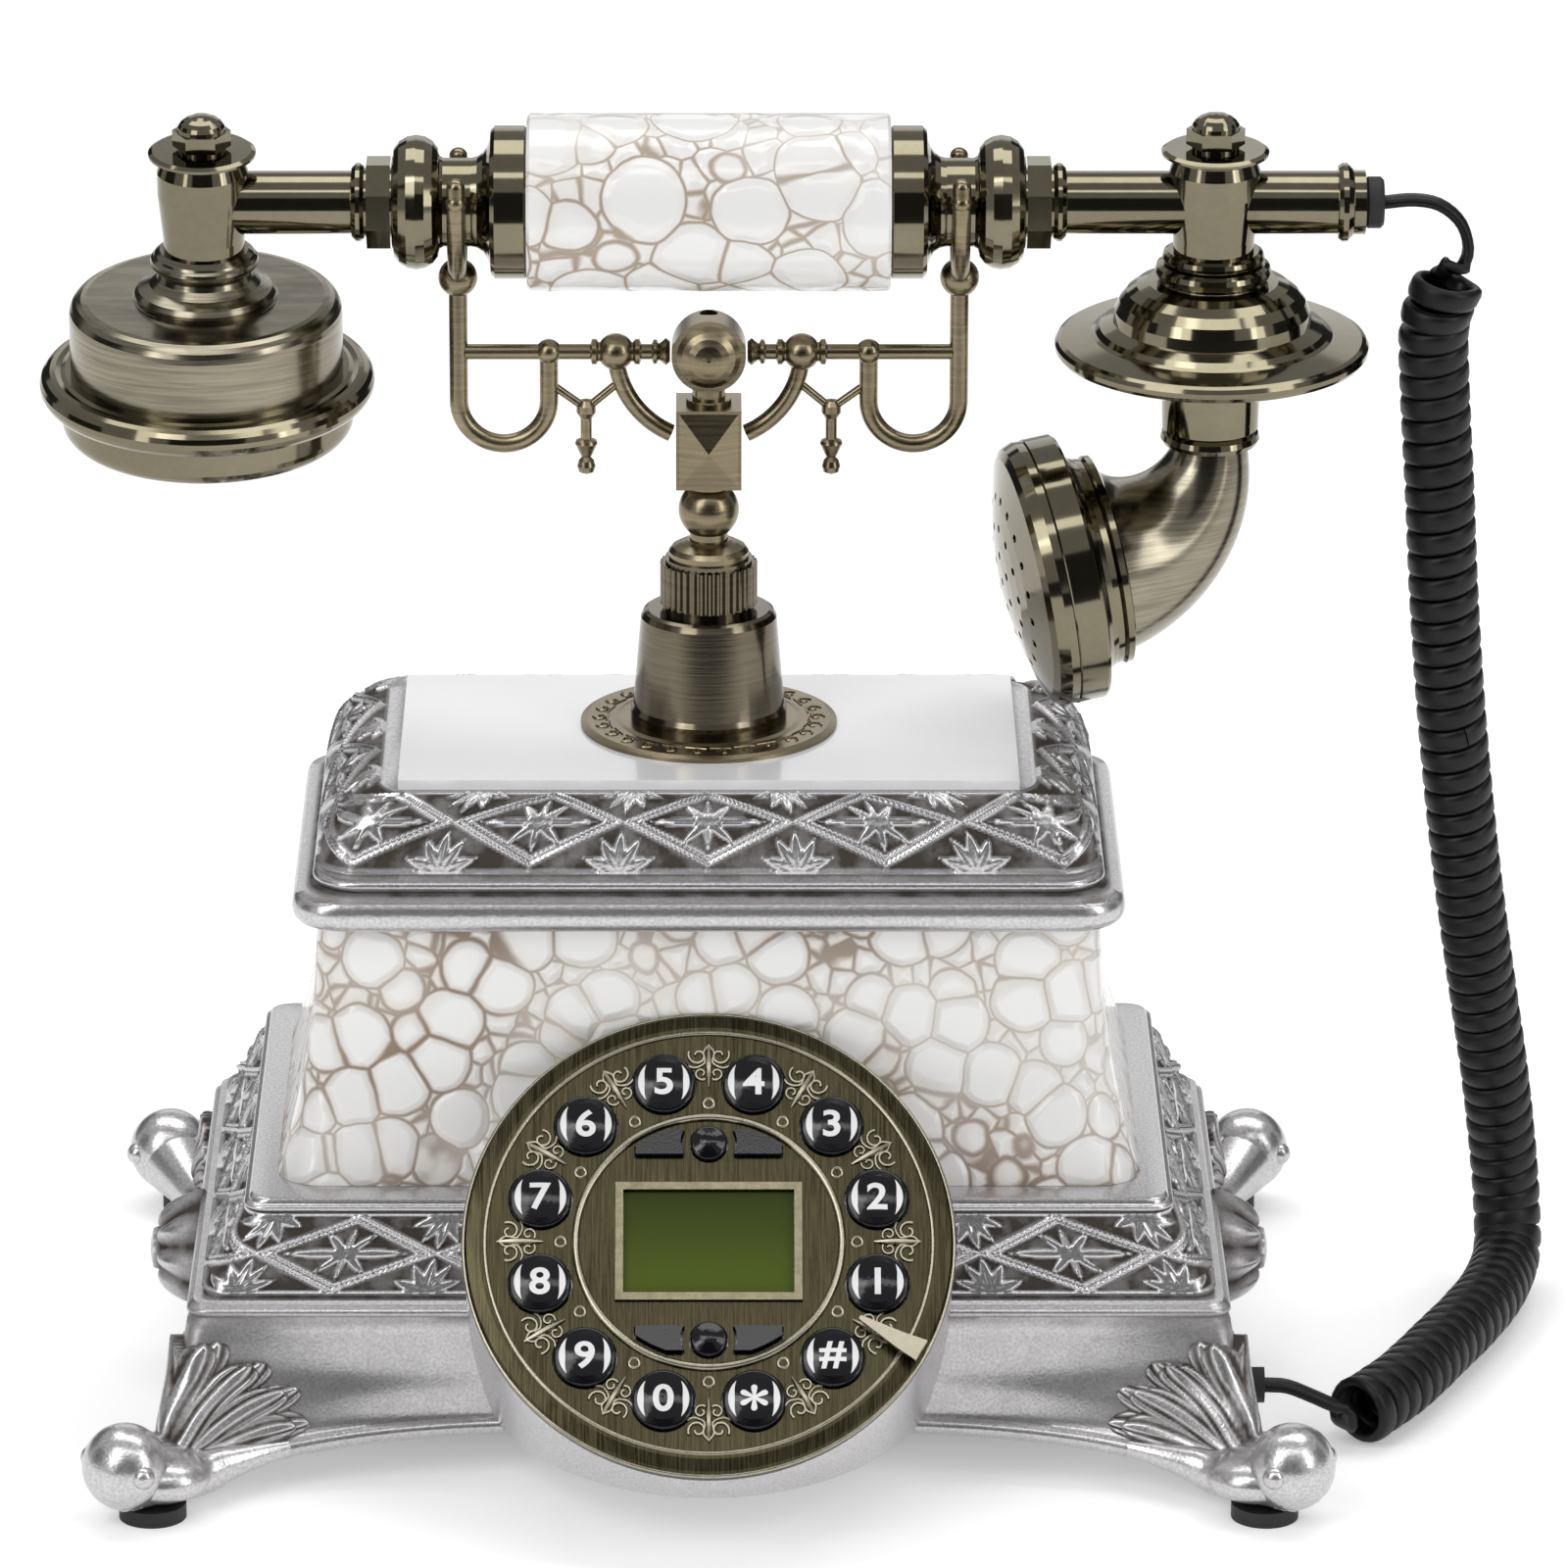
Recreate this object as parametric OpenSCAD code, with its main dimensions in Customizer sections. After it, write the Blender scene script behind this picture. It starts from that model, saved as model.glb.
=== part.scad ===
// Parlour telephone with push keys: a cast base, a turned cradle stand on a sprung post,
// and a handset with an ear drum on the left and a mouth horn on the right.
// Millimetres, +Z up, +X to the user's right, +Y away from the user.

/* [Base casting] */
// Width of the base between the lower corners of its frieze
skirt_w = 199; // [180:1:230]
// Depth of the base between the lower corners of its frieze
skirt_d = 123; // [110:1:150]
// Height of the skirt's arched lower edge above the table
arch_z = 9; // [7:0.5:12]
// Height of the skirt from the arch to the frieze
skirt_h = 25; // [18:1:35]
// Height of the sloping ornamental frieze
frieze_h = 19; // [12:1:28]
// Width of the flat ledge round the body
ledge_w = 178.6; // [174:0.2:190]
// Depth of the flat ledge round the body
ledge_d = 111; // [102:1:120]
// Thickness of the flat ledge
ledge_t = 2; // [1:0.5:5]
// Sideways flare of each leg at the floor
leg_flare_x = 8; // [3:1:14]
// Forward and backward flare of each leg at the floor
leg_flare_y = 20; // [10:1:26]
// Radius of the ball that ends each leg
foot_ball_r = 8.5; // [6:0.5:11]
// Radius of the round ornament on each end of the base
end_boss_r = 12.5; // [8:0.5:14]
// Wall of the hollow castings
cast_wall = 13; // [8:1:18]

/* [Feet and cover] */
// Height of the rubber pads
pad_h = 3; // [2:0.5:5]
// Radius of the rubber pads
pad_r = 6.5; // [4:0.5:7]
// Thickness of the cover under the base
cover_t = 1.6; // [1:0.2:3]
// Width of the cover under the base
cover_w = 150; // [120:1:164]
// Depth of the cover under the base
cover_d = 86; // [60:1:96]
// Head radius of the cover screws
screw_head_r = 3; // [2:0.25:4]

/* [Body and lid] */
// Width of the body at its foot
body_low_w = 168; // [160:1:172]
// Depth of the body at its foot
body_low_d = 97; // [88:1:99]
// Width of the body under the lid
body_top_w = 152; // [140:1:156]
// Depth of the body under the lid
body_top_d = 85; // [78:1:88]
// Height of the body
body_h = 51; // [46:1:70]
// Width of the lid's lower moulding
lid_w = 161; // [158:1:172]
// Depth of the lid's lower moulding
lid_d = 94; // [91:1:100]
// Height of the lid's mouldings
lid_mould_h = 11; // [9:0.5:14]
// Height of the lid's rounded frieze
lid_crown_h = 14.7; // [10:0.5:22]
// Width of the plain top panel
panel_w = 120; // [90:1:126]
// Depth of the plain top panel
panel_d = 65; // [56:1:70]
// Height of the top panel above the lid
panel_t = 1; // [0.5:0.25:2]

/* [Dial] */
// Radius of the dial
dial_r = 47.2; // [44:0.2:50]
// Lean of the dial's face towards the user, from upright
dial_tilt = 42; // [36:1:46]
// Distance of the dial's centre in front of the base's centre
dial_y = 75.5; // [72:0.5:82]
// Height of the dial's centre
dial_z = 54; // [50:0.5:62]
// Width of the brushed ring round the dial
dial_ring_w = 4.2; // [3:0.2:6]
// Thickness of the dial plate
plate_t = 3; // [2:0.5:4]
// Radius of the raised bead round the display
inner_bead_r = 25.5; // [25:0.1:26]
// Width of the display's frame
lcd_w = 35.8; // [30:0.2:38]
// Height of the display's frame
lcd_h = 24; // [20:0.5:26]
// Width of the display frame's rim
lcd_rim = 1.5; // [1:0.1:2.5]
// Length of the finger stop
stop_len = 14; // [10:0.5:15]
// Width of the finger stop at the ring
stop_w = 4.6; // [3:0.2:6]

/* [Keys] */
// Radius of a number key
key_r = 6; // [4:0.25:7]
// Radius of the circle of number keys
key_ring_r = 33.4; // [33:0.1:34]
// Radius of a round function key
fn_r = 3.5; // [2.5:0.1:4]
// Distance of the function keys from the dial's centre
fn_y = 20; // [18.5:0.1:20.4]
// Height of a key's cap above the dial plate
key_rise = 2.2; // [1.8:0.1:3]
// Distance that a key moves when pressed
key_travel = 1.5; // [0.8:0.1:2]

/* [Cradle stand] */
// Distance of the cradle's axis behind the base's centre
post_back = 2.5; // [0:0.5:6]
// Radius of the engraved disc under the stand
disc_r = 25.1; // [18:0.1:28]
// Thickness of the engraved disc
disc_t = 1.5; // [1:0.25:3]
// Radius of the bell at its foot
bell_r = 15.3; // [13.5:0.1:18]
// Height of the bell
bell_h = 22.3; // [21:0.1:30]
// Radius of the knurled nut
nut_r = 9.5; // [7:0.1:11]
// Height of the knurled nut
nut_h = 10.5; // [7:0.5:16]
// Number of flutes on the knurled nut
nut_flutes = 36; // [24:2:48]
// Radius of the collar on the nut
collar_r = 7.8; // [6:0.1:9]
// Height of the collar on the nut
collar_h = 3.6; // [3:0.2:6]
// Radius of the sprung post
post_r = 3.7; // [3:0.1:4.4]
// Rise of the cradle when the handset is lifted
hook_travel = 4; // [2:0.5:4.5]

/* [Cradle arms] */
// Height of the arms above the collar
arm_rise = 37.9; // [36:0.1:44]
// Width of the square block
block_w = 12.7; // [10:0.1:15]
// Height of the square block
block_h = 16; // [12:0.5:17]
// Radius of the hub
hub_r = 7.2; // [6:0.1:8.4]
// Radius of the arm rods
rod_r = 1.5; // [1:0.1:2]
// Radius of the loops and the forks
loop_r = 1.8; // [1.2:0.1:2.2]
// Distance from the hub to the forks
fork_x = 48.5; // [46:0.5:50]
// Width between the two legs of a loop, centre to centre
loop_w = 17.5; // [14:0.5:20]
// Height of the handset's axis above the arms
fork_rise = 30; // [28:0.5:36]
// Depth of a fork below the handset's axis
fork_drop = 15; // [13.5:0.5:17]
// Height of the prongs' tips above the handset's axis
prong_up = 6; // [4:0.5:9]

/* [Handset bar] */
// Length of the grip sleeve
grip_len = 70; // [60:1:76]
// Radius of the grip sleeve
grip_r = 17.2; // [15:0.1:19]
// Radius of the necks that lie in the forks
neck_r = 8.6; // [7:0.1:9.4]
// Radius of the bulbs outside the forks
bulb_r = 13; // [11:0.1:15]
// Radius of the tubes between the bulbs and the heads
tube_r = 6.1; // [5:0.1:7]
// Distance from the middle of the handset to the axis of each head
head_x = 97.5; // [94:0.5:110]
// Distance from the mouth head's axis to the end of the cord bush
tail_len = 32.6; // [28:0.2:40]
// Radius of each head's barrel
head_r = 8.8; // [8:0.1:10]
// Height of each head's barrel
head_h = 19; // [17:0.5:24]
// Lift of the handset off its cradle
lift = 60; // [30:5:120]

/* [Ear drum] */
// Radius of the ear drum
ear_r = 26.5; // [22:0.5:30]
// Radius of the rounded ring round the ear cap
ear_ring_r = 32.6; // [31:0.1:36]
// Depth of the ear drum
ear_h = 15; // [12:0.5:20]
// Depth of the ear cap
ear_cap_h = 13.5; // [12:0.5:18]
// Turn of the ear drum on the bar
ear_roll = 7; // [0:1:10]

/* [Mouth horn] */
// Radius of the flange over the horn
flange_r = 30.5; // [26:0.5:34]
// Height of the neck under the flange
horn_neck_h = 18; // [14:0.5:22]
// Radius of the horn's bend
horn_bend_r = 23; // [22:0.5:28]
// Angle of the horn's bend
horn_bend = 80.5; // [76:0.5:86]
// Radius of the horn where it starts
horn_start_r = 7.3; // [6:0.1:8.5]
// Radius of the horn where it ends
horn_end_r = 18.3; // [15:0.1:19]
// Radius of the mouth rim
rim_r = 26.3; // [24:0.1:28]
// Turn of the horn towards the user
horn_turn = 10; // [0:1:20]
// Turn of the mouth head on the bar
mouth_roll = 3; // [0:1:8]
// Wall of the hollow handset parts
shell_wall = 2.2; // [1.2:0.1:2.6]

/* [Cord] */
// Outer radius of the curly cord's coil
coil_r = 7; // [6:0.25:7.5]
// Radius of the straight leads
lead_r = 1.2; // [0.8:0.1:1.6]

/* [Fits] */
// Radial clearance of the post in its bushes
run_fit = 0.08; // [0.02:0.01:0.1]
// Clearance between pieces that move near each other
gap = 0.3; // [0.2:0.05:0.5]
// Clearance of a piece that is seated in another
seat = 0.1; // [0.05:0.01:0.2]

/* [Hidden] */
$fn = 64;

SILVER = [0.72, 0.72, 0.72];
WHITE = [0.92, 0.9, 0.86];
BRONZE = [0.36, 0.32, 0.24];
BRASS = [0.5, 0.45, 0.32];
BLACK = [0.08, 0.08, 0.08];

// Heights of the stacked pieces
frieze_z = arch_z + skirt_h;
ledge_z = frieze_z + frieze_h;
body_z = ledge_z + ledge_t;
lid_z = body_z + body_h;
crown_z = lid_z + lid_mould_h;
lid_top = crown_z + lid_crown_h;
panel_top = lid_top + panel_t;
disc_top = panel_top + disc_t;
bell_top = disc_top + bell_h;
nut_top = bell_top + nut_h;
collar_top = nut_top + collar_h;
arm_z = collar_top + arm_rise;
bar_z = arm_z + fork_rise;

// The row's origin lies under the middle of the whole telephone
leg_x = skirt_w / 2 + leg_flare_x;
leg_y = skirt_d / 2 + leg_flare_y;
foot_x = leg_x + 4.5;
foot_y = leg_y + 3.5;
front_y = -dial_y - dial_r * sin(dial_tilt);
rear_y = foot_y + foot_ball_r;
base_y = -(front_y + rear_y) / 2;
post_y = base_y + post_back;

// Skirt and frieze: how far each moulding stands out from the line of the frieze
leg_power = 4;
lip_out = 2.5;
bead_out = 1.5;
boss_foot_r = 7.5;
cavity_w = body_top_w - 2 * cast_wall;
cavity_d = body_top_d - 2 * cast_wall;

// Dial stack, measured from the face of the plate downwards
key_flange_t = 1;
key_depth = plate_t + gap + key_flange_t;
board_t = 2;
pocket_depth = key_depth + key_travel + 0.6 + board_t;
pocket_r = dial_r - dial_ring_w - 2;
drum_cut_y = 39;
key_step = 30;
key_first = -15;
wing_in = fn_r + 1.4;
wing_out = 14;
wing_h = 5;
stop_in = dial_r - stop_len;
stop_angle = -30;

// Cradle stand
bell_roof = 6.5;
bell_wall = 4;
flange_t = 3;
flange_out = 2.8;
post_foot_z = bell_top - bell_roof - hook_travel - flange_t - 1;
ball_r = 5.9;
block_z = arm_z - 10.2 - block_h;
ball_z = collar_top + 6;
big_ball_r = 3.6;
big_ball_x = 18;
small_ball_r = 2.5;
loop_x = fork_x - loop_w;
loop_bend_z = arm_z - 9.8;
finial_x = (big_ball_x + loop_x) / 2 - 0.7;
finial_z = arm_z - 11.5;
joint_ball_r = 3.8;
socket_up = 1.9;

// Forks: two arcs that clear the neck by the gap and meet at the joint ball
fork_lead = 3;
fork_depth = fork_lead + fork_drop;
fork_reach = loop_r + neck_r + 2 * gap;
fork_arc_r = (fork_reach * fork_reach + fork_depth * fork_depth - fork_lead * fork_lead)
    / (2 * fork_reach);
fork_half = fork_arc_r - sqrt(fork_arc_r * fork_arc_r - fork_depth * fork_depth);
fork_sweep = asin(fork_depth / fork_arc_r);
prong_bead = 0.25;

// Handset bar
collar_len = 7;
grip_half = grip_len / 2;
neck_half = loop_r + gap + 0.6;
bulb_len = 9.2;
collar_edge_r = 14.8;
octagon_across = 16.6;
octagon_len = 4.6;
bar_bead_r = 7.6;
tube_end = head_x - 4;
grip_wall = 4;

// Heads, measured down from the handset's axis
head_low = head_h / 2;
ear_top = head_low + 10;
ear_low = ear_top + ear_h;
dome_base = head_low + 14.5;
flange_low = dome_base + 7.2;
horn_top = flange_low + horn_neck_h;
bell_depth = 13;
grille_depth = 9;
washer_t = 1.5;
hex_across = 9.8;
hex_h = 3.2;

// Cord route, chosen by hand: X and Y from the cradle's axis, Z above the table
lead_top_points = [[gap, 0], [6, 0.5], [11, -0.6], [14.4, -3.6], [15.6, -8], [15.4, -11.5],
    [15.4, -14.5]];
coil_points = [[140, 0, 223.9], [140, 0, 213], [141, 1, 200], [142.5, 3, 180],
    [144, 5.5, 158], [146, 9, 136], [148.5, 13, 114], [151.5, 18, 92], [155, 24, 70],
    [158.5, 30, 49], [161, 35.5, 31], [162.5, 38, 18], [162.8, 33, 9.5], [161, 24, 7.4],
    [157, 11, 7.3], [151.5, -3, 7.3], [146, -15, 7.3], [141, -26, 7.3], [136.5, -36, 7.3],
    [131.5, -44, 7.3], [126, -48.8, 7.3], [121, -50, 7.3], [119, -50, 7.3]];
lead_base_points = [[gap, 13], [2.5, 13.2], [5.5, 12.3], [8, 11.4], [10.4, 11.4]];
cord_sides = 8;
coil_sides = 12;

// ---- Geometry helpers ----

function unit(v) = v / norm(v);

// Outline of a rounded rectangle, counter-clockwise, with points along its sides too
function rect_outline(hx, hy, r, steps = 4, side = 9) = [
    for (q = [0 : 3])
        let (
            cx = (q == 0 || q == 3 ? 1 : -1) * (hx - r),
            cy = (q < 2 ? 1 : -1) * (hy - r),
            end_a = 90 * (q + 1),
            start = [cx + r * cos(end_a), cy + r * sin(end_a)],
            span = (q % 2 == 0) ? [-2 * cx, 0] : [0, -2 * cy]
        )
        each concat(
            [for (i = [0 : steps]) let (a = 90 * q + 90 * i / steps)
                [cx + r * cos(a), cy + r * sin(a)]],
            [for (i = [1 : side]) start + span * i / (side + 1)])];

// One ring of a loft: [z, half width, half depth, corner radius, flare x, flare y, arch]
function loft_ring(k) =
    let (hx = k[1], hy = k[2], fx = k[4], fy = k[5], arch = k[6])
    [for (p = rect_outline(hx, hy, k[3]))
        let (w = pow(abs(p.x / hx * p.y / hy), leg_power))
        [p.x + sign(p.x) * fx * w, p.y + sign(p.y) * fy * w, k[0] + arch * (1 - w)]];

function middle(points) = [for (p = points) 1] * points / len(points);

// A closed skin over a stack of equal rings, with a fan of triangles on each end
module skin(rings) {
    n = len(rings[0]);
    top = len(rings) - 1;
    low_hub = len(rings) * n;
    polyhedron(
        concat([for (ring = rings) each ring], [middle(rings[0]), middle(rings[top])]),
        concat(
            [for (i = [0 : n - 1]) [low_hub, i, (i + 1) % n]],
            [for (i = [0 : n - 1]) [low_hub + 1, top * n + (i + 1) % n, top * n + i]],
            [for (k = [0 : top - 1], i = [0 : n - 1]) let (j = (i + 1) % n) each [
                [k * n + i, (k + 1) * n + j, k * n + j],
                [k * n + i, (k + 1) * n + i, (k + 1) * n + j]]]),
        convexity = 6);
}

module loft(rings) skin([for (k = rings) loft_ring(k)]);

// Tube swept along points; ref is a direction that the path never follows
module sweep(path, radii, sides, ref) {
    last = len(path) - 1;
    skin([for (i = [0 : last])
        let (
            t = unit(path[min(i + 1, last)] - path[max(i - 1, 0)]),
            u = unit(cross(ref, t)),
            v = cross(t, u)
        )
        [for (k = [0 : sides - 1]) let (a = 360 * k / sides)
            path[i] + radii[i] * (cos(a) * u + sin(a) * v)]]);
}

// Points of an arc about a centre, in a lathe outline
function arc(cx, cy, r, from, to, steps = 6) =
    [for (i = [0 : steps]) let (a = from + (to - from) * i / steps)
        [cx + r * cos(a), cy + r * sin(a)]];

module lathe(points) rotate_extrude() polygon(points);

// Part of a ring of round bar, standing in the XZ plane
module bent_rod(bend_r, bar_r, from, sweep_a)
    rotate([90, 0, 0]) rotate([0, 0, from])
        rotate_extrude(angle = sweep_a) translate([bend_r, 0]) circle(bar_r);

module rod_between(a, b, r) {
    d = b - a;
    translate(a) rotate([0, acos(d.z / norm(d)), atan2(d.y, d.x)]) cylinder(r = r, h = norm(d));
}

module at_base() translate([0, base_y, 0]) children();
module at_post() translate([0, post_y, 0]) children();
module on_dial() at_base() translate([0, -dial_y, dial_z]) rotate([90 - dial_tilt, 0, 0])
    children();
module on_bar() translate([0, post_y, bar_z]) children();
module at_ear() on_bar() translate([-head_x, 0, 0]) rotate([ear_roll, 0, 0]) children();
module at_mouth() on_bar() translate([head_x, 0, 0]) rotate([mouth_roll, 0, 0]) children();
module each_corner(x, y) for (sx = [-1, 1], sy = [-1, 1]) translate([sx * x, sy * y, 0])
    children();

// ---- Base ----

function base_ring(z, out, fx, fy, arch) =
    [z, skirt_w / 2 + out, skirt_d / 2 + out, 4, fx, fy, arch];
function slope_ring(z, out, share) = [z,
    (skirt_w * (1 - share) + ledge_w * share) / 2 + out,
    (skirt_d * (1 - share) + ledge_d * share) / 2 + out, 4, 0, 0, 0];

module skirt_and_frieze() {
    foot = arch_z - pad_h;
    loft([
        [arch_z + 1, skirt_w / 2 - 16, skirt_d / 2 - 13, 6, 0, 0, 0],
        base_ring(pad_h + 0.5, -2, leg_flare_x, leg_flare_y, foot - 0.5),
        base_ring(pad_h, 1.2, leg_flare_x, leg_flare_y, foot),
        base_ring(pad_h + 1.8, lip_out, leg_flare_x, leg_flare_y, foot),
        base_ring(pad_h + 4.2, 1.5, leg_flare_x - 0.5, leg_flare_y - 2, foot - 0.6),
        base_ring(pad_h + 5.2, 0.6, leg_flare_x - 1, leg_flare_y - 3, foot - 1),
        base_ring(arch_z + skirt_h * 0.25, 0.3, leg_flare_x * 0.75, leg_flare_y * 0.6, 3),
        base_ring(arch_z + skirt_h * 0.5, 0, leg_flare_x * 0.5, leg_flare_y * 0.36, 1),
        base_ring(arch_z + skirt_h * 0.78, 0, leg_flare_x * 0.35, leg_flare_y * 0.18, 0),
        base_ring(frieze_z - 2, 0.3, leg_flare_x * 0.2, leg_flare_y * 0.1, 0),
        base_ring(frieze_z - 0.8, bead_out, 0, 0, 0),
        base_ring(frieze_z + 1, bead_out, 0, 0, 0),
        base_ring(frieze_z + 2, 0.4, 0, 0, 0),
        slope_ring(frieze_z + 2.6, -0.8, 0.05),
        slope_ring(ledge_z - 2.4, -0.4, 0.9),
        slope_ring(ledge_z - 1.8, 1, 1),
        slope_ring(ledge_z - 0.6, 1, 1),
        slope_ring(ledge_z, 0, 1),
        [body_z - 0.4, ledge_w / 2, ledge_d / 2, 6, 0, 0, 0],
        [body_z, ledge_w / 2 - 0.5, ledge_d / 2 - 0.5, 6, 0, 0, 0]]);
}

// Larger than anything that a cut has to clear
cut_room = 150;

// The drum that carries the dial, grown by a clearance where the body makes room for it
module dial_drum(grow, front) intersection() {
    on_dial() translate([0, 0, -70]) cylinder(r = dial_r + grow, h = 70 + front);
    at_base() translate([-cut_room, -cut_room, arch_z + 1])
        cube([2 * cut_room, cut_room - drum_cut_y + grow, cut_room]);
}

module base_casting() color(SILVER) difference() {
    union() {
        at_base() skirt_and_frieze();
        dial_drum(0, -plate_t);
        at_base() each_corner(foot_x, foot_y) translate([0, 0, pad_h + foot_ball_r])
            sphere(foot_ball_r, $fn = 32);
        at_base() each_corner(foot_x - 5, foot_y - 3) translate([0, 0, pad_h])
            cylinder(r = boss_foot_r, h = 6);
        at_base() for (s = [-1, 1])
            translate([s * skirt_w / 2, 0, arch_z + skirt_h * 0.56])
                sphere(end_boss_r, $fn = 32);
    }
    at_base() translate([-cavity_w / 2, -cavity_d / 2, 0]) cube([cavity_w, cavity_d, body_z + 1]);
    on_dial() translate([0, 0, -pocket_depth]) cylinder(r = pocket_r, h = pocket_depth + 1);
    bush_hole();
    socket_hole();
}

bush_x = skirt_w / 2 - 5.5;
bush_y = -50;
bush_z = 13;
bush_r = 3.5;
bush_end = skirt_w / 2 + 9;
module bush_hole() at_post() translate([bush_x - seat, bush_y, bush_z]) rotate([0, 90, 0])
    cylinder(r = bush_r + seat, h = 40);

module cord_bush_base() color(BLACK) at_post() translate([bush_x, bush_y, bush_z])
    rotate([0, 90, 0]) cylinder(r = bush_r, h = bush_end - bush_x);

socket_w = 14;
socket_h = 12;
socket_depth = 12;
socket_x = -40;
socket_z = 14;
plug_w = 9.8;
plug_h = 7;
plug_back = 1.5;
module socket_hole() at_base() translate([socket_x - socket_w / 2 - seat,
    skirt_d / 2 - socket_depth - seat, socket_z - seat])
    cube([socket_w + 2 * seat, 30, socket_h + 2 * seat]);

module line_socket() color(BLACK) at_base() difference() {
    translate([socket_x - socket_w / 2, skirt_d / 2 - socket_depth, socket_z])
        cube([socket_w, socket_depth, socket_h]);
    translate([socket_x - plug_w / 2, skirt_d / 2 - socket_depth + plug_back,
        socket_z + (socket_h - plug_h) / 2]) cube([plug_w, socket_depth, plug_h]);
}

module bottom_cover() color(BLACK) at_base()
    translate([0, 0, arch_z + 1 - cover_t]) difference() {
        translate([-cover_w / 2, -cover_d / 2, 0]) cube([cover_w, cover_d, cover_t]);
        each_corner(cover_w / 2 - 6, cover_d / 2 - 6) translate([0, 0, -1])
            cylinder(r = screw_head_r / 2 + seat, h = cover_t + 2);
    }

module cover_screws() color(SILVER) at_base()
    each_corner(cover_w / 2 - 6, cover_d / 2 - 6)
        translate([0, 0, arch_z + 1 - cover_t - 1.2]) {
            cylinder(r = screw_head_r, h = 1.2);
            cylinder(r = screw_head_r / 2, h = 1.2 + cover_t);
        }

module rubber_feet() color(BLACK) at_base()
    each_corner(foot_x - 5, foot_y - 3) cylinder(r = pad_r, h = pad_h);

// ---- Body and lid ----

module body_shell() color(WHITE) difference() {
    at_base() loft([for (i = [0 : 8])
        let (t = i / 8, waist = pow(1 - t, 2.2))
        [body_z + body_h * t,
            (body_top_w + (body_low_w - body_top_w) * waist) / 2,
            (body_top_d + (body_low_d - body_top_d) * waist) / 2, 9, 0, 0, 0]]);
    dial_drum(gap, 8);
    at_base() translate([-cavity_w / 2, -cavity_d / 2, body_z - 1])
        cube([cavity_w, cavity_d, body_h - 3]);
}

function lid_ring(z, inset, r) = [z, lid_w / 2 - inset, lid_d / 2 - inset, r, 0, 0, 0];
function crown_ring(t, s) =
    let (inset = 5 + (lid_w - panel_w - 14) / 2 * s, deep = 5 + (lid_d - panel_d - 14) / 2 * s)
    [crown_z + lid_crown_h * t, lid_w / 2 - inset, lid_d / 2 - deep, 8, 0, 0, 0];

module lid_casting() color(SILVER) at_base() difference() {
    loft(concat([
        lid_ring(lid_z, 2.5, 8),
        lid_ring(lid_z + 0.8, 0.8, 9),
        lid_ring(lid_z + 2.4, 0, 9),
        lid_ring(lid_z + 4.4, 0, 9),
        lid_ring(lid_z + 6, 0.9, 9),
        lid_ring(lid_z + 6.8, 2.6, 9),
        lid_ring(lid_z + 7.4, 5, 8),
        lid_ring(lid_z + 8.2, 4.2, 8),
        lid_ring(lid_z + 9.4, 4.2, 8),
        lid_ring(lid_z + 10.2, 5, 8)],
        [for (i = [0 : 8]) let (a = 90 * i / 8) crown_ring(sin(a), 1 - cos(a))]));
    translate([-panel_w / 2 - seat, -panel_d / 2 - seat, lid_top - panel_t])
        cube([panel_w + 2 * seat, panel_d + 2 * seat, panel_t + 1]);
}

module top_panel() color(WHITE) at_base()
    translate([-panel_w / 2, -panel_d / 2, lid_top - panel_t])
        cube([panel_w, panel_d, 2 * panel_t]);

// ---- Dial ----

module dial_ring() color(BRONZE) on_dial() {
    low = -plate_t;
    inner = dial_r - dial_ring_w;
    lathe(concat(
        [[inner, low], [dial_r, low], [dial_r, -0.8], [dial_r - 0.8, 0]],
        [[inner + 1, 0.4], [inner, 0.4]]));
}

module wing_shape(side, grow = 0) intersection() {
    circle(inner_bead_r - 1.6 + grow);
    difference() {
        translate([side > 0 ? wing_in - grow : -wing_out - grow, fn_y - wing_h / 2 - grow])
            square([wing_out - wing_in + 2 * grow, wing_h + 2 * grow]);
        translate([0, fn_y]) circle(fn_r + 1.9 - grow);
    }
}

module dial_plate() color(BRONZE) on_dial() {
    difference() {
        translate([0, 0, -plate_t]) cylinder(r = dial_r - dial_ring_w - seat, h = plate_t);
        for (i = [0 : 11]) rotate([0, 0, key_first + key_step * i])
            translate([key_ring_r, 0, -plate_t - 1]) cylinder(r = key_r + gap, h = plate_t + 2);
        for (s = [-1, 1]) translate([0, s * fn_y, -plate_t - 1])
            cylinder(r = fn_r + gap, h = plate_t + 2);
        for (m = [0, 1], s = [-1, 1]) mirror([0, m, 0])
            translate([0, 0, -plate_t - 1]) linear_extrude(plate_t + 2) wing_shape(s, gap);
        translate([-lcd_w / 2 - seat, -lcd_h / 2 - seat, -plate_t - 1])
            cube([lcd_w + 2 * seat, lcd_h + 2 * seat, plate_t + 2]);
    }
    rotate_extrude() translate([inner_bead_r, 0]) intersection() {
        circle(0.6);
        translate([-1, 0]) square([2, 1]);
    }
}

module key_board() color(BRASS) on_dial() translate([0, 0, -pocket_depth])
    cylinder(r = pocket_r - seat, h = board_t);

module number_key(i) color(BLACK) on_dial() rotate([0, 0, key_first + key_step * i])
    translate([key_ring_r, 0, 0]) dome_key(key_r);

module dome_key(r) lathe(concat(
    [[0, -key_depth], [r + 0.8, -key_depth], [r + 0.8, -key_depth + key_flange_t],
        [r, -key_depth + key_flange_t]],
    [for (i = [0 : 5]) let (a = 15 * i)
        [r - 0.7 * (1 - cos(a)), key_rise * 0.35 + 0.6 * sin(a)]],
    [for (i = [1 : 5]) let (s = 1 - i / 5)
        [(r - 0.7) * s, key_rise * 0.35 + 0.6 + (key_rise * 0.65 - 0.6) * (1 - s * s)]]));

module fn_key(s) color(BLACK) on_dial() translate([0, s * fn_y, 0]) dome_key(fn_r);

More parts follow.
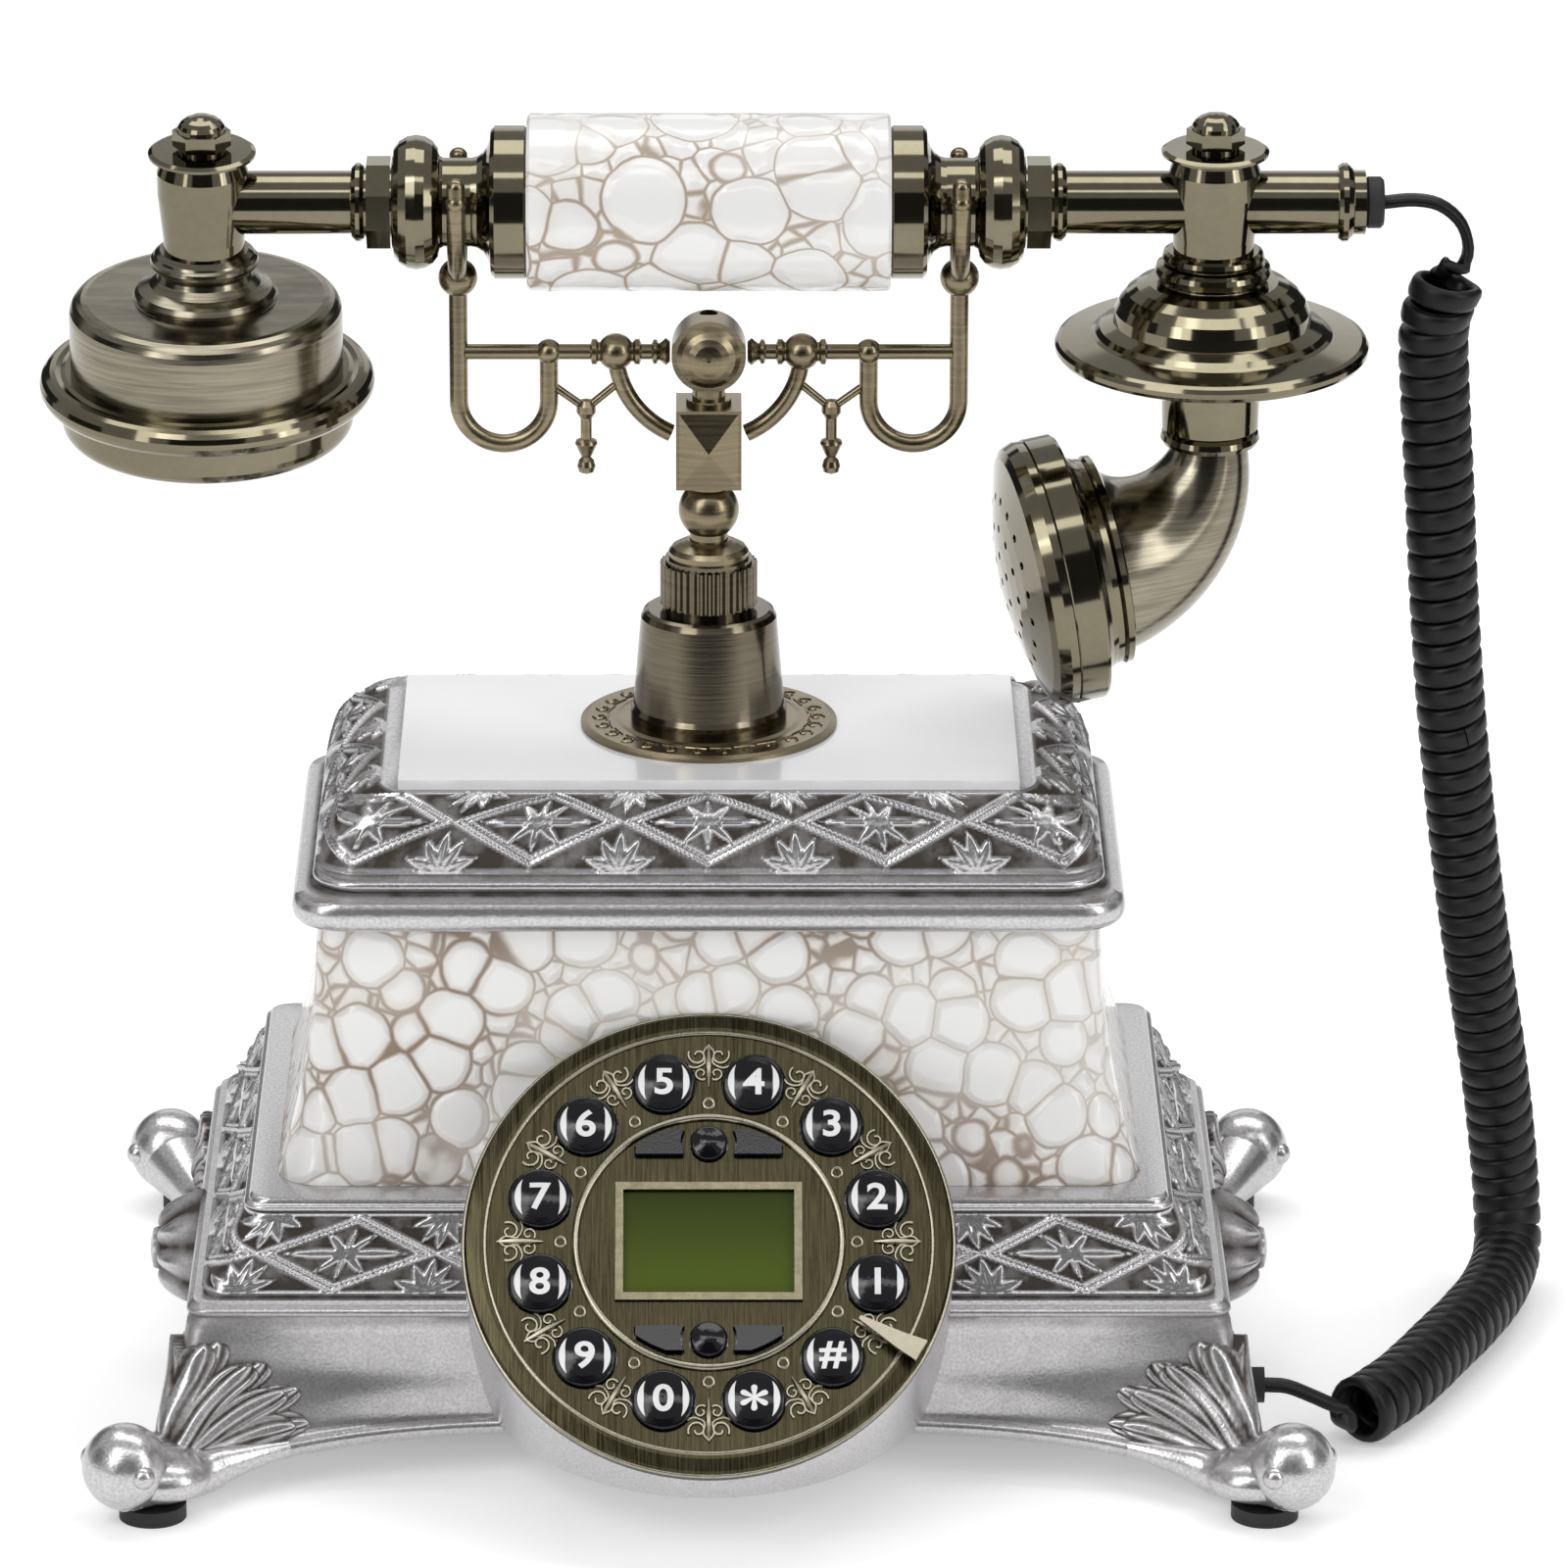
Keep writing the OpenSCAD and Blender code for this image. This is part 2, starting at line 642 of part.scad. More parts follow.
module wing_key(m, s) color(BLACK) on_dial() mirror([0, m, 0]) {
    translate([0, 0, -key_depth + key_flange_t / 2])
        linear_extrude(key_depth + key_rise * 0.5) wing_shape(s, 0);
}

module lcd_frame() color(BRONZE) on_dial() difference() {
    translate([-lcd_w / 2, -lcd_h / 2, -pocket_depth + board_t])
        cube([lcd_w, lcd_h, pocket_depth - board_t + 0.8]);
    translate([-lcd_w / 2 + lcd_rim, -lcd_h / 2 + lcd_rim, -plate_t + 1])
        cube([lcd_w - 2 * lcd_rim, lcd_h - 2 * lcd_rim, plate_t + 2]);
}

module lcd_screen() color([0.3, 0.42, 0.1]) on_dial()
    translate([-lcd_w / 2 + lcd_rim + seat, -lcd_h / 2 + lcd_rim + seat, -plate_t + 1])
        cube([lcd_w - 2 * (lcd_rim + seat), lcd_h - 2 * (lcd_rim + seat), 1.5]);

module finger_stop() color(BRONZE) on_dial() rotate([0, 0, stop_angle]) {
    translate([0, 0, key_rise + 0.5]) linear_extrude(1.2)
        polygon([[stop_in, -0.4], [stop_in, 0.4], [dial_r - 5, stop_w * 0.32],
            [dial_r - 0.5, stop_w / 2], [dial_r - 0.5, -stop_w / 2],
            [dial_r - 5, -stop_w * 0.4]]);
    translate([dial_r - dial_ring_w + 1.4, -1.4, 0.4]) cube([1.6, 2.8, key_rise + 0.1]);
}

// ---- Cradle stand ----

module stand_disc() color(BRASS) at_post() translate([0, 0, panel_top])
    lathe([[0, 0], [disc_r, 0], [disc_r, disc_t * 0.5], [disc_r - 1.2, disc_t * 0.8],
        [bell_r + 3, disc_t * 0.8], [bell_r + 2, disc_t], [0, disc_t]]);

module stand_bell() color(BRASS) at_post() translate([0, 0, disc_top]) lathe([
    [bell_r - bell_wall, 0], [bell_r, 0], [bell_r, 2], [bell_r - 0.5, 3],
    [bell_r - 2, bell_h - 1.5], [bell_r - 2.6, bell_h - 0.4], [bell_r - 3.4, bell_h],
    [post_r + run_fit, bell_h], [post_r + run_fit, bell_h - bell_roof],
    [bell_r - bell_wall - 1, bell_h - bell_roof]]);

module stand_nut() color(BRASS) at_post() translate([0, 0, bell_top]) difference() {
    union() {
        cylinder(r = nut_r - 1, h = nut_h);
        translate([0, 0, 1.2]) linear_extrude(nut_h - 2.2) polygon([
            for (i = [0 : nut_flutes - 1], k = [0 : 3])
                let (a = 360 * (i + k / 4) / nut_flutes, r = nut_r - (k < 2 ? 0 : 0.7))
                [r * cos(a), r * sin(a)]]);
    }
    translate([0, 0, -1]) cylinder(r = post_r + run_fit, h = nut_h + 2);
}

module stand_collar() color(BRASS) at_post() translate([0, 0, nut_top]) lathe(concat(
    [[post_r + run_fit, 0], [collar_r, 0], [collar_r, collar_h * 0.35]],
    [[collar_r - 0.7, collar_h * 0.6], [collar_r - 2.4, collar_h * 0.85]],
    [[post_r + 0.5, collar_h], [post_r + run_fit, collar_h]]));

module hook_switch() color(BLACK) at_post() translate([0, 0, disc_top]) {
    translate([-3, -1.8, 0]) cube([6, 3.6, post_foot_z - disc_top - 2]);
    cylinder(r = 0.9, h = post_foot_z - disc_top - gap);
}

spring_r = 5.2;
spring_wire_r = 0.45;
spring_turns = 4;
module hook_spring() color(SILVER) at_post() {
    low = disc_top + spring_wire_r + gap;
    rise = post_foot_z - disc_top - 2 * (spring_wire_r + gap);
    path = [for (i = [0 : 12 * spring_turns]) let (a = 30 * i)
        [spring_r * cos(a), spring_r * sin(a), low + rise * i / (12 * spring_turns)]];
    sweep(path, [for (p = path) spring_wire_r], 6, [0, 0, 1]);
}

module cradle_post() color(BRASS) at_post() difference() {
    union() {
        translate([0, 0, post_foot_z]) cylinder(r = post_r + flange_out, h = flange_t);
        translate([0, 0, post_foot_z]) cylinder(r = post_r, h = ball_z - post_foot_z);
        translate([0, 0, ball_z]) sphere(ball_r);
        translate([0, 0, ball_z]) cylinder(r = 3.2, h = arm_z - ball_z);
        translate([0, 0, block_z - 1]) cylinder(r = 4.4, h = 1);
        translate([-block_w / 2, -block_w / 2, block_z]) cube([block_w, block_w, block_h]);
        for (s = [0, 180]) rotate([0, 0, s]) block_pyramid();
        translate([0, 0, block_z + block_h]) cylinder(r = 4.4, h = 1);
        translate([0, 5.5, arm_z]) rotate([90, 0, 0]) lathe(concat(
            [[0, 0], [hub_r - 1, 0], [hub_r, 1], [hub_r, 9.5]],
            arc(0, 3.6, hub_r + 1.35, 43.5, 90, 5)));
    }
    translate([0, 2.5, arm_z]) cylinder(r = 1.8, h = hub_r + 1);
}

module block_pyramid() translate([0, -block_w / 2, block_z + block_h / 2])
    polyhedron(concat(
        [for (c = [[-1, -1], [1, -1], [1, 1], [-1, 1]])
            [c[0] * (block_w / 2 - 0.6), 0.01, c[1] * (block_h / 2 - 0.6)]],
        [[0, -2.6, 0]]),
        [[0, 1, 2, 3], [1, 0, 4], [2, 1, 4], [3, 2, 4], [0, 3, 4]]);

// A bead on a rod along X: pairs of distance along the rod and radius
module turned_rod(points) rotate([0, 90, 0]) lathe(concat(
    [[0, points[0][0]]], [for (p = points) [p[1], p[0]]], [[0, points[len(points) - 1][0]]]));

// One arm of the cradle, from the hub to the riser, for the right-hand side
module cradle_arm() {
    start = hub_r + 0.3;
    translate([0, 0, arm_z]) {
        turned_rod([[start, 2], [start + 0.8, 2.7], [start + 1.6, 2], [start + 2.2, 1.6],
            [start + 2.6, 2.4], [start + 3.2, 2.4], [start + 3.6, rod_r], [13, rod_r],
            [13.4, 2.5], [14.2, 2.5], [14.7, 1.9], [21.4, 1.9], [21.8, 2.5], [22.6, 2.5],
            [23, rod_r], [fork_x - loop_r + 0.5, rod_r]]);
        translate([big_ball_x, 0, 0]) sphere(big_ball_r);
        translate([loop_x, 0, 0]) sphere(small_ball_r);
        bent_rod(big_ball_x, rod_r + 0.2, -arc_sweep, arc_sweep);
    }
    translate([loop_x, 0, loop_bend_z]) cylinder(r = loop_r, h = arm_z - loop_bend_z);
    translate([(loop_x + fork_x) / 2, 0, loop_bend_z])
        bent_rod(loop_w / 2, loop_r, 180, 180);
    translate([fork_x, 0, loop_bend_z])
        cylinder(r = loop_r, h = bar_z - fork_drop - socket_up - seat - loop_bend_z);
    rod_between([big_ball_x - 1.2, 0, arm_z - 5.6], [finial_x, 0, finial_z], 0.8);
    rod_between([loop_x, 0, arm_z - 6.2], [finial_x, 0, finial_z], 0.8);
    translate([finial_x, 0, finial_z]) lathe([[0, 2], [1.2, 1.7], [1.9, 0.7], [1.9, -0.7],
        [1.2, -1.8], [1.1, -2.2], [1.1, -6], [2, -6.4], [2.2, -7], [1.2, -9.2], [0.9, -9.8],
        [1.5, -10.5], [1.8, -11.6], [1.5, -12.7], [0, -13.4]]);
}
arc_sweep = acos((block_w / 2 + gap + (rod_r + 0.2) * 0.4) / big_ball_x);

module cradle_arm_right() color(BRASS) at_post() cradle_arm();
module cradle_arm_left() color(BRASS) at_post() mirror([1, 0, 0]) cradle_arm();

// A fork: a joint ball on the riser and two prongs that rise either side of the neck
module fork() translate([fork_x, 0, bar_z]) difference() {
    fork_bars();
    translate([0, 0, -fork_drop - joint_ball_r - 1])
        cylinder(r = loop_r + seat, h = joint_ball_r + 1 - socket_up);
}

module fork_bars() {
    translate([0, 0, -fork_drop]) sphere(joint_ball_r);
    for (s = [0, 180]) rotate([0, 0, s]) {
        translate([0, fork_half - fork_arc_r, fork_lead]) rotate([0, 0, 90])
            bent_rod(fork_arc_r, loop_r, -fork_sweep, fork_sweep - 1);
        translate([0, fork_half, fork_lead]) sphere(loop_r + prong_bead);
        translate([0, fork_half, fork_lead + 0.3])
            cylinder(r = loop_r, h = prong_up - fork_lead - 0.3);
        translate([0, fork_half, prong_up]) sphere(loop_r);
    }
}

module fork_right() color(BRASS) at_post() fork();
module fork_left() color(BRASS) at_post() mirror([1, 0, 0]) fork();

// ---- Handset ----

module grip_sleeve() color(WHITE) on_bar() rotate([0, 90, 0]) lathe([
    [grip_r - grip_wall, -grip_half], [grip_r - 0.6, -grip_half], [grip_r, -grip_half + 0.6],
    [grip_r, grip_half - 0.6], [grip_r - 0.6, grip_half], [grip_r - grip_wall, grip_half]]);

// The turned piece from the grip to the head, for the right-hand side
module neck() {
    edge = grip_half + collar_len;
    low = fork_x - neck_half;
    high = fork_x + neck_half;
    bulb_x = high + bulb_len / 2 + 0.6;
    octagon_x = high + bulb_len + 0.6;
    plug_r = grip_r - grip_wall - seat;
    rotate([0, 90, 0]) {
        lathe(concat(
            [[0, grip_half - 8], [plug_r, grip_half - 8], [plug_r, grip_half]],
            [[collar_edge_r - 0.5, grip_half], [collar_edge_r, grip_half + 0.5]],
            [[collar_edge_r, edge - 0.8], [collar_edge_r - 0.8, edge]],
            [for (i = [1 : 5]) let (a = 18 * i)
                [neck_r + (collar_edge_r - 0.8 - neck_r) * (1 - sin(a)),
                    edge + (low - edge) * (1 - cos(a))]],
            [[neck_r, high]],
            [for (i = [0 : 8]) let (a = -90 + 22.5 * i)
                [neck_r + 0.4 + (bulb_r - neck_r - 0.4) * cos(a),
                    bulb_x + bulb_len / 2 * sin(a)]],
            [[tube_r + 0.6, octagon_x], [tube_r + 0.6, octagon_x + octagon_len + 0.8]],
            [[bar_bead_r - 0.6, octagon_x + octagon_len + 0.8]],
            [[bar_bead_r, octagon_x + octagon_len + 1.6]],
            [[bar_bead_r, octagon_x + octagon_len + 2.4]],
            [[bar_bead_r - 0.8, octagon_x + octagon_len + 3.2]],
            [[tube_r, octagon_x + octagon_len + 3.4], [tube_r, tube_end], [0, tube_end]]));
        translate([0, 0, octagon_x + 0.3]) rotate([0, 0, 22.5])
            cylinder(r = octagon_across / 2 / cos(22.5), h = octagon_len, $fn = 8);
    }
}

module neck_right() color(BRONZE) on_bar() neck();
module neck_left() color(BRONZE) on_bar() mirror([1, 0, 0]) neck();

// The barrel that takes the tube, with its washer seat on top
module head_barrel() lathe([[0, -head_low], [head_r - 1, -head_low], [head_r - 0.9, -7],
    [head_r, 2], [head_r, 6.6], [head_r - 0.8, head_low - 0.6], [head_r - 0.8, head_low],
    [0, head_low]]);

module tube_bore(side) rotate([0, side * 90, 0])
    cylinder(r = tube_r + seat, h = 40);

module head_left() color(BRONZE) difference() {
    at_ear() head_barrel();
    on_bar() translate([-tube_end - seat, 0, 0]) tube_bore(1);
}

module head_right() color(BRONZE) difference() {
    union() {
        at_mouth() head_barrel();
        on_bar() rotate([0, 90, 0]) lathe([[0, head_x], [tube_r, head_x],
            [tube_r, tail_x - 9], [bar_bead_r - 0.6, tail_x - 8.8], [bar_bead_r, tail_x - 8],
            [bar_bead_r, tail_x - 7], [bar_bead_r - 1, tail_x - 6], [6.2, tail_x - 5.8],
            [6.2, tail_x - 3.6], [5.6, tail_x - 3.4], [0, tail_x - 3.4]]);
    }
    on_bar() translate([tube_end + seat, 0, 0]) tube_bore(-1);
}
tail_x = head_x + tail_len;

module cord_bush_handset() color(BLACK) on_bar() rotate([0, 90, 0])
    lathe([[0, tail_x - 3.4], [4.6, tail_x - 3.4], [5, tail_x - 3], [5, tail_x - 0.6],
        [4.4, tail_x], [0, tail_x]]);

module head_nut() translate([0, 0, head_low]) {
    lathe([[0, 0], [9.4, 0], [10.4, 0.5], [10.4, 1], [9.6, washer_t], [0, washer_t]]);
    translate([0, 0, washer_t]) lathe([[0, 0], [4.6, 0], [4.6, 0.8], [0, 0.8]]);
    translate([0, 0, washer_t + 0.8]) cylinder(r = hex_across / 2 / cos(30), h = hex_h, $fn = 6);
    translate([0, 0, washer_t + 0.8 + hex_h])
        lathe(concat([[0, 0]], [for (i = [0 : 6]) let (a = 15 * i)
            [4.7 * cos(a), 3 * sin(a)]]));
}

module head_nuts() color(BRONZE) {
    at_ear() head_nut();
    at_mouth() head_nut();
}

module ear_drum() color(BRONZE) at_ear() lathe(concat(
    [[0, -head_low], [8.6, -head_low], [9.6, -head_low - 0.8]],
    arc(9.2, -head_low - 2.4, 1.3, 60, -60, 4),
    [[9, -head_low - 4.6], [9.4, -head_low - 5.6], [10.8, -head_low - 7], [13, -head_low - 8]],
    [[13.7, -head_low - 9], [13.4, -ear_top + 0.2], [14.2, -ear_top]],
    arc(ear_r - 3.4, -ear_top - 3.4, 3.4, 90, 0, 5),
    [[ear_r, -ear_low], [ear_r - shell_wall, -ear_low]],
    [[ear_r - shell_wall, -ear_top - 4], [ear_r - shell_wall - 2, -ear_top - shell_wall],
        [0, -ear_top - shell_wall]]));

module ear_cap() color(BRONZE) at_ear() {
    low = ear_low + ear_cap_h;
    ring_y = ear_low + 2.9;
    cap_r = ear_ring_r - 4.1;
    difference() {
        lathe(concat(
            [[ear_r - shell_wall, -ear_low], [ear_ring_r - 5, -ear_low]],
            arc(ear_ring_r - 2.9, -ring_y, 2.9, 115, -75, 9),
            [[cap_r, -ring_y - 3.2], [cap_r, -low + 4.5]],
            arc(cap_r - 3.6, -low + 3.6, 3.6, 0, -80, 5),
            [[20, -low + 0.4], [16, -low + 1], [0, -low + 1.4]],
            [[0, -low + 1.4 + shell_wall], [ear_r - shell_wall, -low + 1.4 + shell_wall]]));
        for (ring = [[0, 1], [6, 6], [12, 12]], i = [0 : ring[1] - 1])
            rotate([0, 0, 360 * i / ring[1]]) translate([ring[0], 0, -low - 1])
                cylinder(r = 0.9, h = shell_wall + 4);
    }
}

module mouth_dome() color(BRONZE) at_mouth() lathe(concat(
    [[0, -head_low], [8.4, -head_low]],
    arc(8.6, -head_low - 1.3, 1.3, 80, -80, 4),
    arc(9.8, -head_low - 4.1, 1.5, 80, -80, 4),
    [[10.4, -head_low - 6]],
    [for (i = [0 : 6]) let (a = 15 * i)
        [10.4 + 8.8 * sin(a), -dome_base + 8.4 * cos(a)]],
    [[19.6, -dome_base - 0.2], [21.8, -dome_base - 1.2], [22.6, -dome_base - 2.2]],
    [[23.4, -dome_base - 2.6], [flange_r - 1.6, -dome_base - 3.4]],
    arc(flange_r - 1.7, -dome_base - 5.1, 1.7, 80, -80, 5),
    [[14, -flange_low + 0.1], [12, -flange_low]],
    [[10.6, -flange_low - 2.4], [9.8, -flange_low - 3], [9.6, -flange_low - 4.4]],
    [[9.4, -horn_top + 3.6]],
    arc(8.2, -horn_top + 1.5, 1.5, 80, -90, 4),
    [[0, -horn_top]]));

// The horn's centre line leaves the neck downwards and bends to the left
module at_horn() at_mouth() rotate([0, 0, horn_turn]) children();
module at_rim() at_horn() translate([-horn_bend_r, 0, -horn_top])
    rotate([0, horn_bend, 0]) translate([horn_bend_r, 0, 0]) rotate([180, 0, 0]) children();

horn_steps = 12;
horn_sides = 32;
module horn_skin(from, to, wall) skin([for (i = [0 : horn_steps])
    let (
        a = horn_bend * (from + (to - from) * i / horn_steps),
        r = horn_start_r + (horn_end_r - horn_start_r) * pow(i / horn_steps, 1.15) - wall
    )
    [for (k = [0 : horn_sides - 1])
        let (side_a = 360 * k / horn_sides, reach = horn_bend_r + r * cos(side_a))
        [reach * cos(a) - horn_bend_r, -r * sin(side_a), -horn_top - reach * sin(a)]]]);

module mouth_horn() color(BRONZE) at_horn() difference() {
    horn_skin(0, 1, 0);
    horn_skin(-0.01, 1.01, shell_wall);
}

module mouth_bell() color(BRONZE) at_rim() lathe(concat(
    [[horn_end_r - shell_wall, seat], [horn_end_r + 1, seat], [horn_end_r + 2.3, 0.6]],
    [[horn_end_r + 2.4, 1.8], [horn_end_r + 1.6, 2.6]],
    arc(rim_r - 1.4, 2.2, 4.6, 175, 110, 4),
    [[rim_r - 0.4, 6.8], [rim_r, 7.4], [rim_r, bell_depth - 0.4], [rim_r - 0.4, bell_depth]],
    [[rim_r - 2 * shell_wall, bell_depth], [rim_r - 2 * shell_wall, 8],
        [horn_end_r - shell_wall, 4]]));

module mouth_grille() color(BRONZE) at_rim() difference() {
    face = bell_depth + grille_depth;
    lathe(concat(
        [[0, bell_depth], [rim_r - 0.2, bell_depth], [rim_r - 0.1, bell_depth + 1.6]],
        [[rim_r - 1, bell_depth + 3.8], [rim_r - 2.6, bell_depth + 4.8]],
        [for (i = [1 : 6]) let (s = 1 - i / 6)
            [(rim_r - 3.4) * s, bell_depth + 4.8 + (grille_depth - 4.8) * (1 - s * s)]]));
    for (ring = [[0, 1], [5.5, 6], [11, 12], [16.5, 18]], i = [0 : ring[1] - 1])
        rotate([0, 0, 360 * i / ring[1]]) translate([ring[0], 0, face - 7])
            cylinder(r = 0.8, h = 10);
}

// ---- Cord ----

module cord_lead_top() color(BLACK) on_bar() {
    path = [for (p = lead_top_points) [tail_x + p[0], 0, p[1]]];
    sweep(path, [for (p = path) lead_r], cord_sides, [0, 1, 0]);
}

module cord_coil() color(BLACK) at_post()
    sweep(coil_points, [for (p = coil_points) coil_r], coil_sides, [1, 0, 1]);

module cord_lead_base() color(BLACK) at_post() {
    path = [for (p = lead_base_points) [bush_end + p[0], bush_y, p[1]]];
    sweep(path, [for (p = path) lead_r], cord_sides, [0, 1, 0]);
}

// ---- Nodes ----

base_casting();
bottom_cover();
cover_screws();
rubber_feet();
body_shell();
lid_casting();
top_panel();
dial_ring();
dial_plate();
lcd_frame();
lcd_screen();
finger_stop();
key_board();
line_socket();
cord_bush_base();
number_key(0);  // key_1
number_key(1);  // key_2
number_key(2);  // key_3
number_key(3);  // key_4
number_key(4);  // key_5
number_key(5);  // key_6
number_key(6);  // key_7
number_key(7);  // key_8
number_key(8);  // key_9
number_key(9);  // key_0
number_key(10);  // key_star
number_key(11);  // key_hash
fn_key(1);  // fn_top
wing_key(0, -1);  // fn_top_left
wing_key(0, 1);  // fn_top_right
fn_key(-1);  // fn_low
wing_key(1, -1);  // fn_low_left
wing_key(1, 1);  // fn_low_right
stand_disc();
stand_bell();
stand_nut();
stand_collar();
hook_switch();
hook_spring();
cradle_post();
cradle_arm_left();
cradle_arm_right();
fork_left();
fork_right();
grip_sleeve();
neck_left();
neck_right();
head_left();
head_right();
head_nuts();
ear_drum();
ear_cap();
mouth_dome();
mouth_horn();
mouth_bell();
mouth_grille();
cord_bush_handset();
cord_lead_top();
cord_coil();
cord_lead_base();
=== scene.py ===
"""Parlour telephone: its dressed pieces, finishes, light and camera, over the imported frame."""

from __future__ import annotations

import logging
import math
from collections.abc import Callable, Iterator, Sequence
from contextlib import contextmanager
from dataclasses import astuple, dataclass, field
from enum import Enum
from functools import cache

import bmesh
import bpy
import numpy as np
from mathutils import Matrix, Vector


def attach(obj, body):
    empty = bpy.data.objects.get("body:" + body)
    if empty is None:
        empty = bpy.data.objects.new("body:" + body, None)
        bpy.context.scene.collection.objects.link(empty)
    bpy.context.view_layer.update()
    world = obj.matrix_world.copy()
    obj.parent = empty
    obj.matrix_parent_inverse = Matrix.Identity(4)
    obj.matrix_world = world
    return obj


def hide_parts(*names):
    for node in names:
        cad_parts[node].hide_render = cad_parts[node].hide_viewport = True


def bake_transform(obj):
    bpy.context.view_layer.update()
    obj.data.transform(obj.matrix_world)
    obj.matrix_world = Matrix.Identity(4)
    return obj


LOG = logging.getLogger("telephone")
MM = 0.001
TURN = 2 * math.pi
FLAT = Matrix.Identity(4)
Array = np.ndarray
Colour = tuple[float, float, float]
Spot = tuple[float, float, float]
Points = Sequence[Sequence[float]]
Piece = bpy.types.Object
Material = bpy.types.Material
Node = bpy.types.Node
Socket = bpy.types.NodeSocket

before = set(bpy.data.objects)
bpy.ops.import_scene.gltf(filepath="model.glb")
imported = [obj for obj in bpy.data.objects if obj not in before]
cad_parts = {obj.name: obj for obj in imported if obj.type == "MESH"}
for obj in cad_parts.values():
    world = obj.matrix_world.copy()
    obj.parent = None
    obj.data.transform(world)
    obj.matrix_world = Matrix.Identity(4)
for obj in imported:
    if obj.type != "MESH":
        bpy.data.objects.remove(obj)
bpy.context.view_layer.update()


class Body(Enum):
    """The bodies that the pieces ride on, besides the keys."""

    BASE = "base"
    CRADLE = "cradle"
    HANDSET = "handset"


class Slot(Enum):
    """The record's materials that the scene's own pieces use."""

    SILVER = "silver_resin"
    WHITE = "white_resin"
    SHELL = "plated_shell"
    BRASS = "stand_brass"
    BRONZE = "dial_bronze"
    KEY = "key_black"
    CORD = "cord_black"


def turned(degrees: float, axis: str) -> Matrix:
    """Return a turn about an axis."""
    return Matrix.Rotation(math.radians(degrees), 4, axis)


@dataclass(frozen=True)
class Layout:
    """Places that the sub-assemblies share, in millimetres and degrees."""

    base_y: float = 6.7915
    post_y: float = 9.2915
    dial_z: float = 54.0
    dial_y: float = -68.7085
    dial_lean: float = 48.0
    bar_z: float = 238.5
    head_x: float = 97.5
    mouth_roll: float = 3.0
    horn_turn: float = 10.0

    def base(self) -> Matrix:
        """Return the place of the base's own frame."""
        return Matrix.Translation((0, self.base_y, 0))

    def post(self) -> Matrix:
        """Return the place of the cradle's axis."""
        return Matrix.Translation((0, self.post_y, 0))

    def dial(self) -> Matrix:
        """Return the place of the dial's face, with Z out of the face."""
        return Matrix.Translation((0, self.dial_y, self.dial_z)) @ turned(self.dial_lean, "X")

    def horn(self) -> Matrix:
        """Return the place of the horn, hung from the mouth head and turned to the user."""
        turn = turned(self.mouth_roll, "X") @ turned(self.horn_turn, "Z")
        return Matrix.Translation((self.head_x, self.post_y, self.bar_z)) @ turn


PLACES = Layout()


# ---- Meshes and pieces ----


def put_in_scene(name: str, data: bpy.types.ID) -> Piece:
    """Put a new object in the scene.

    Args:
        name: Its name.
        data: What it holds: a mesh, a lamp, a camera or a text.

    Returns:
        The object.
    """
    made = bpy.data.objects.new(name, data)
    bpy.context.scene.collection.objects.link(made)
    return made


def shade(mesh: bpy.types.Mesh, crease: float = 40.0) -> None:
    """Shade a mesh smooth, but leave its edges past crease degrees sharp."""
    mesh.shade_smooth()
    mesh.set_sharp_from_angle(angle=math.radians(crease))


def finish_mesh(name: str, mesh: bpy.types.Mesh, crease: float) -> Piece:
    """Shade a mesh and put it in the scene.

    Args:
        name: The piece's name.
        mesh: Its mesh, in metres and in its place.
        crease: Edges sharper than this many degrees stay sharp.

    Returns:
        The new object, at the origin.
    """
    mesh.update()
    shade(mesh, crease)
    return put_in_scene(name, mesh)


@contextmanager
def reworked(mesh: bpy.types.Mesh) -> Iterator[bmesh.types.BMesh]:
    """Open a mesh for changes and store them afterwards.

    Args:
        mesh: The mesh.

    Yields:
        Its editable copy.
    """
    work = bmesh.new()
    work.from_mesh(mesh)
    yield work
    work.to_mesh(mesh)
    work.free()


def turn_outwards(mesh: bpy.types.Mesh) -> None:
    """Merge doubled points and turn the faces outwards.

    Args:
        mesh: A closed mesh, in metres.
    """
    with reworked(mesh) as work:
        bmesh.ops.remove_doubles(work, verts=work.verts, dist=2e-6)
        bmesh.ops.dissolve_degenerate(work, edges=work.edges, dist=1e-7)
        bmesh.ops.recalc_face_normals(work, faces=work.faces)


def make_piece(name: str, points: Array | Points, faces: Array | Sequence, place: Matrix = FLAT,
               crease: float = 40.0, weld: bool = False) -> Piece:
    """Make a mesh object whose place is in its mesh.

    Args:
        name: The piece's name.
        points: Its points in millimetres, in the frame that place gives.
        faces: Its faces, as rows of point numbers.
        place: The frame of the points, in millimetres.
        crease: Edges sharper than this many degrees stay sharp.
        weld: Whether doubled points are merged and the faces turned outwards.

    Returns:
        The new object, at the origin.
    """
    mesh = bpy.data.meshes.new(name)
    matrix = np.array(place)
    cloud = np.asarray(points, dtype=float).reshape(-1, 3) @ matrix[:3, :3].T + matrix[:3, 3]
    mesh.from_pydata((cloud * MM).tolist(), [], [tuple(map(int, face)) for face in faces])
    if weld:
        turn_outwards(mesh)
    return finish_mesh(name, mesh, crease)


def plain_mesh(made: Piece) -> bpy.types.Mesh:
    """Return a new mesh of an object with its modifiers or its text worked out."""
    return bpy.data.meshes.new_from_object(
        made.evaluated_get(bpy.context.evaluated_depsgraph_get()))


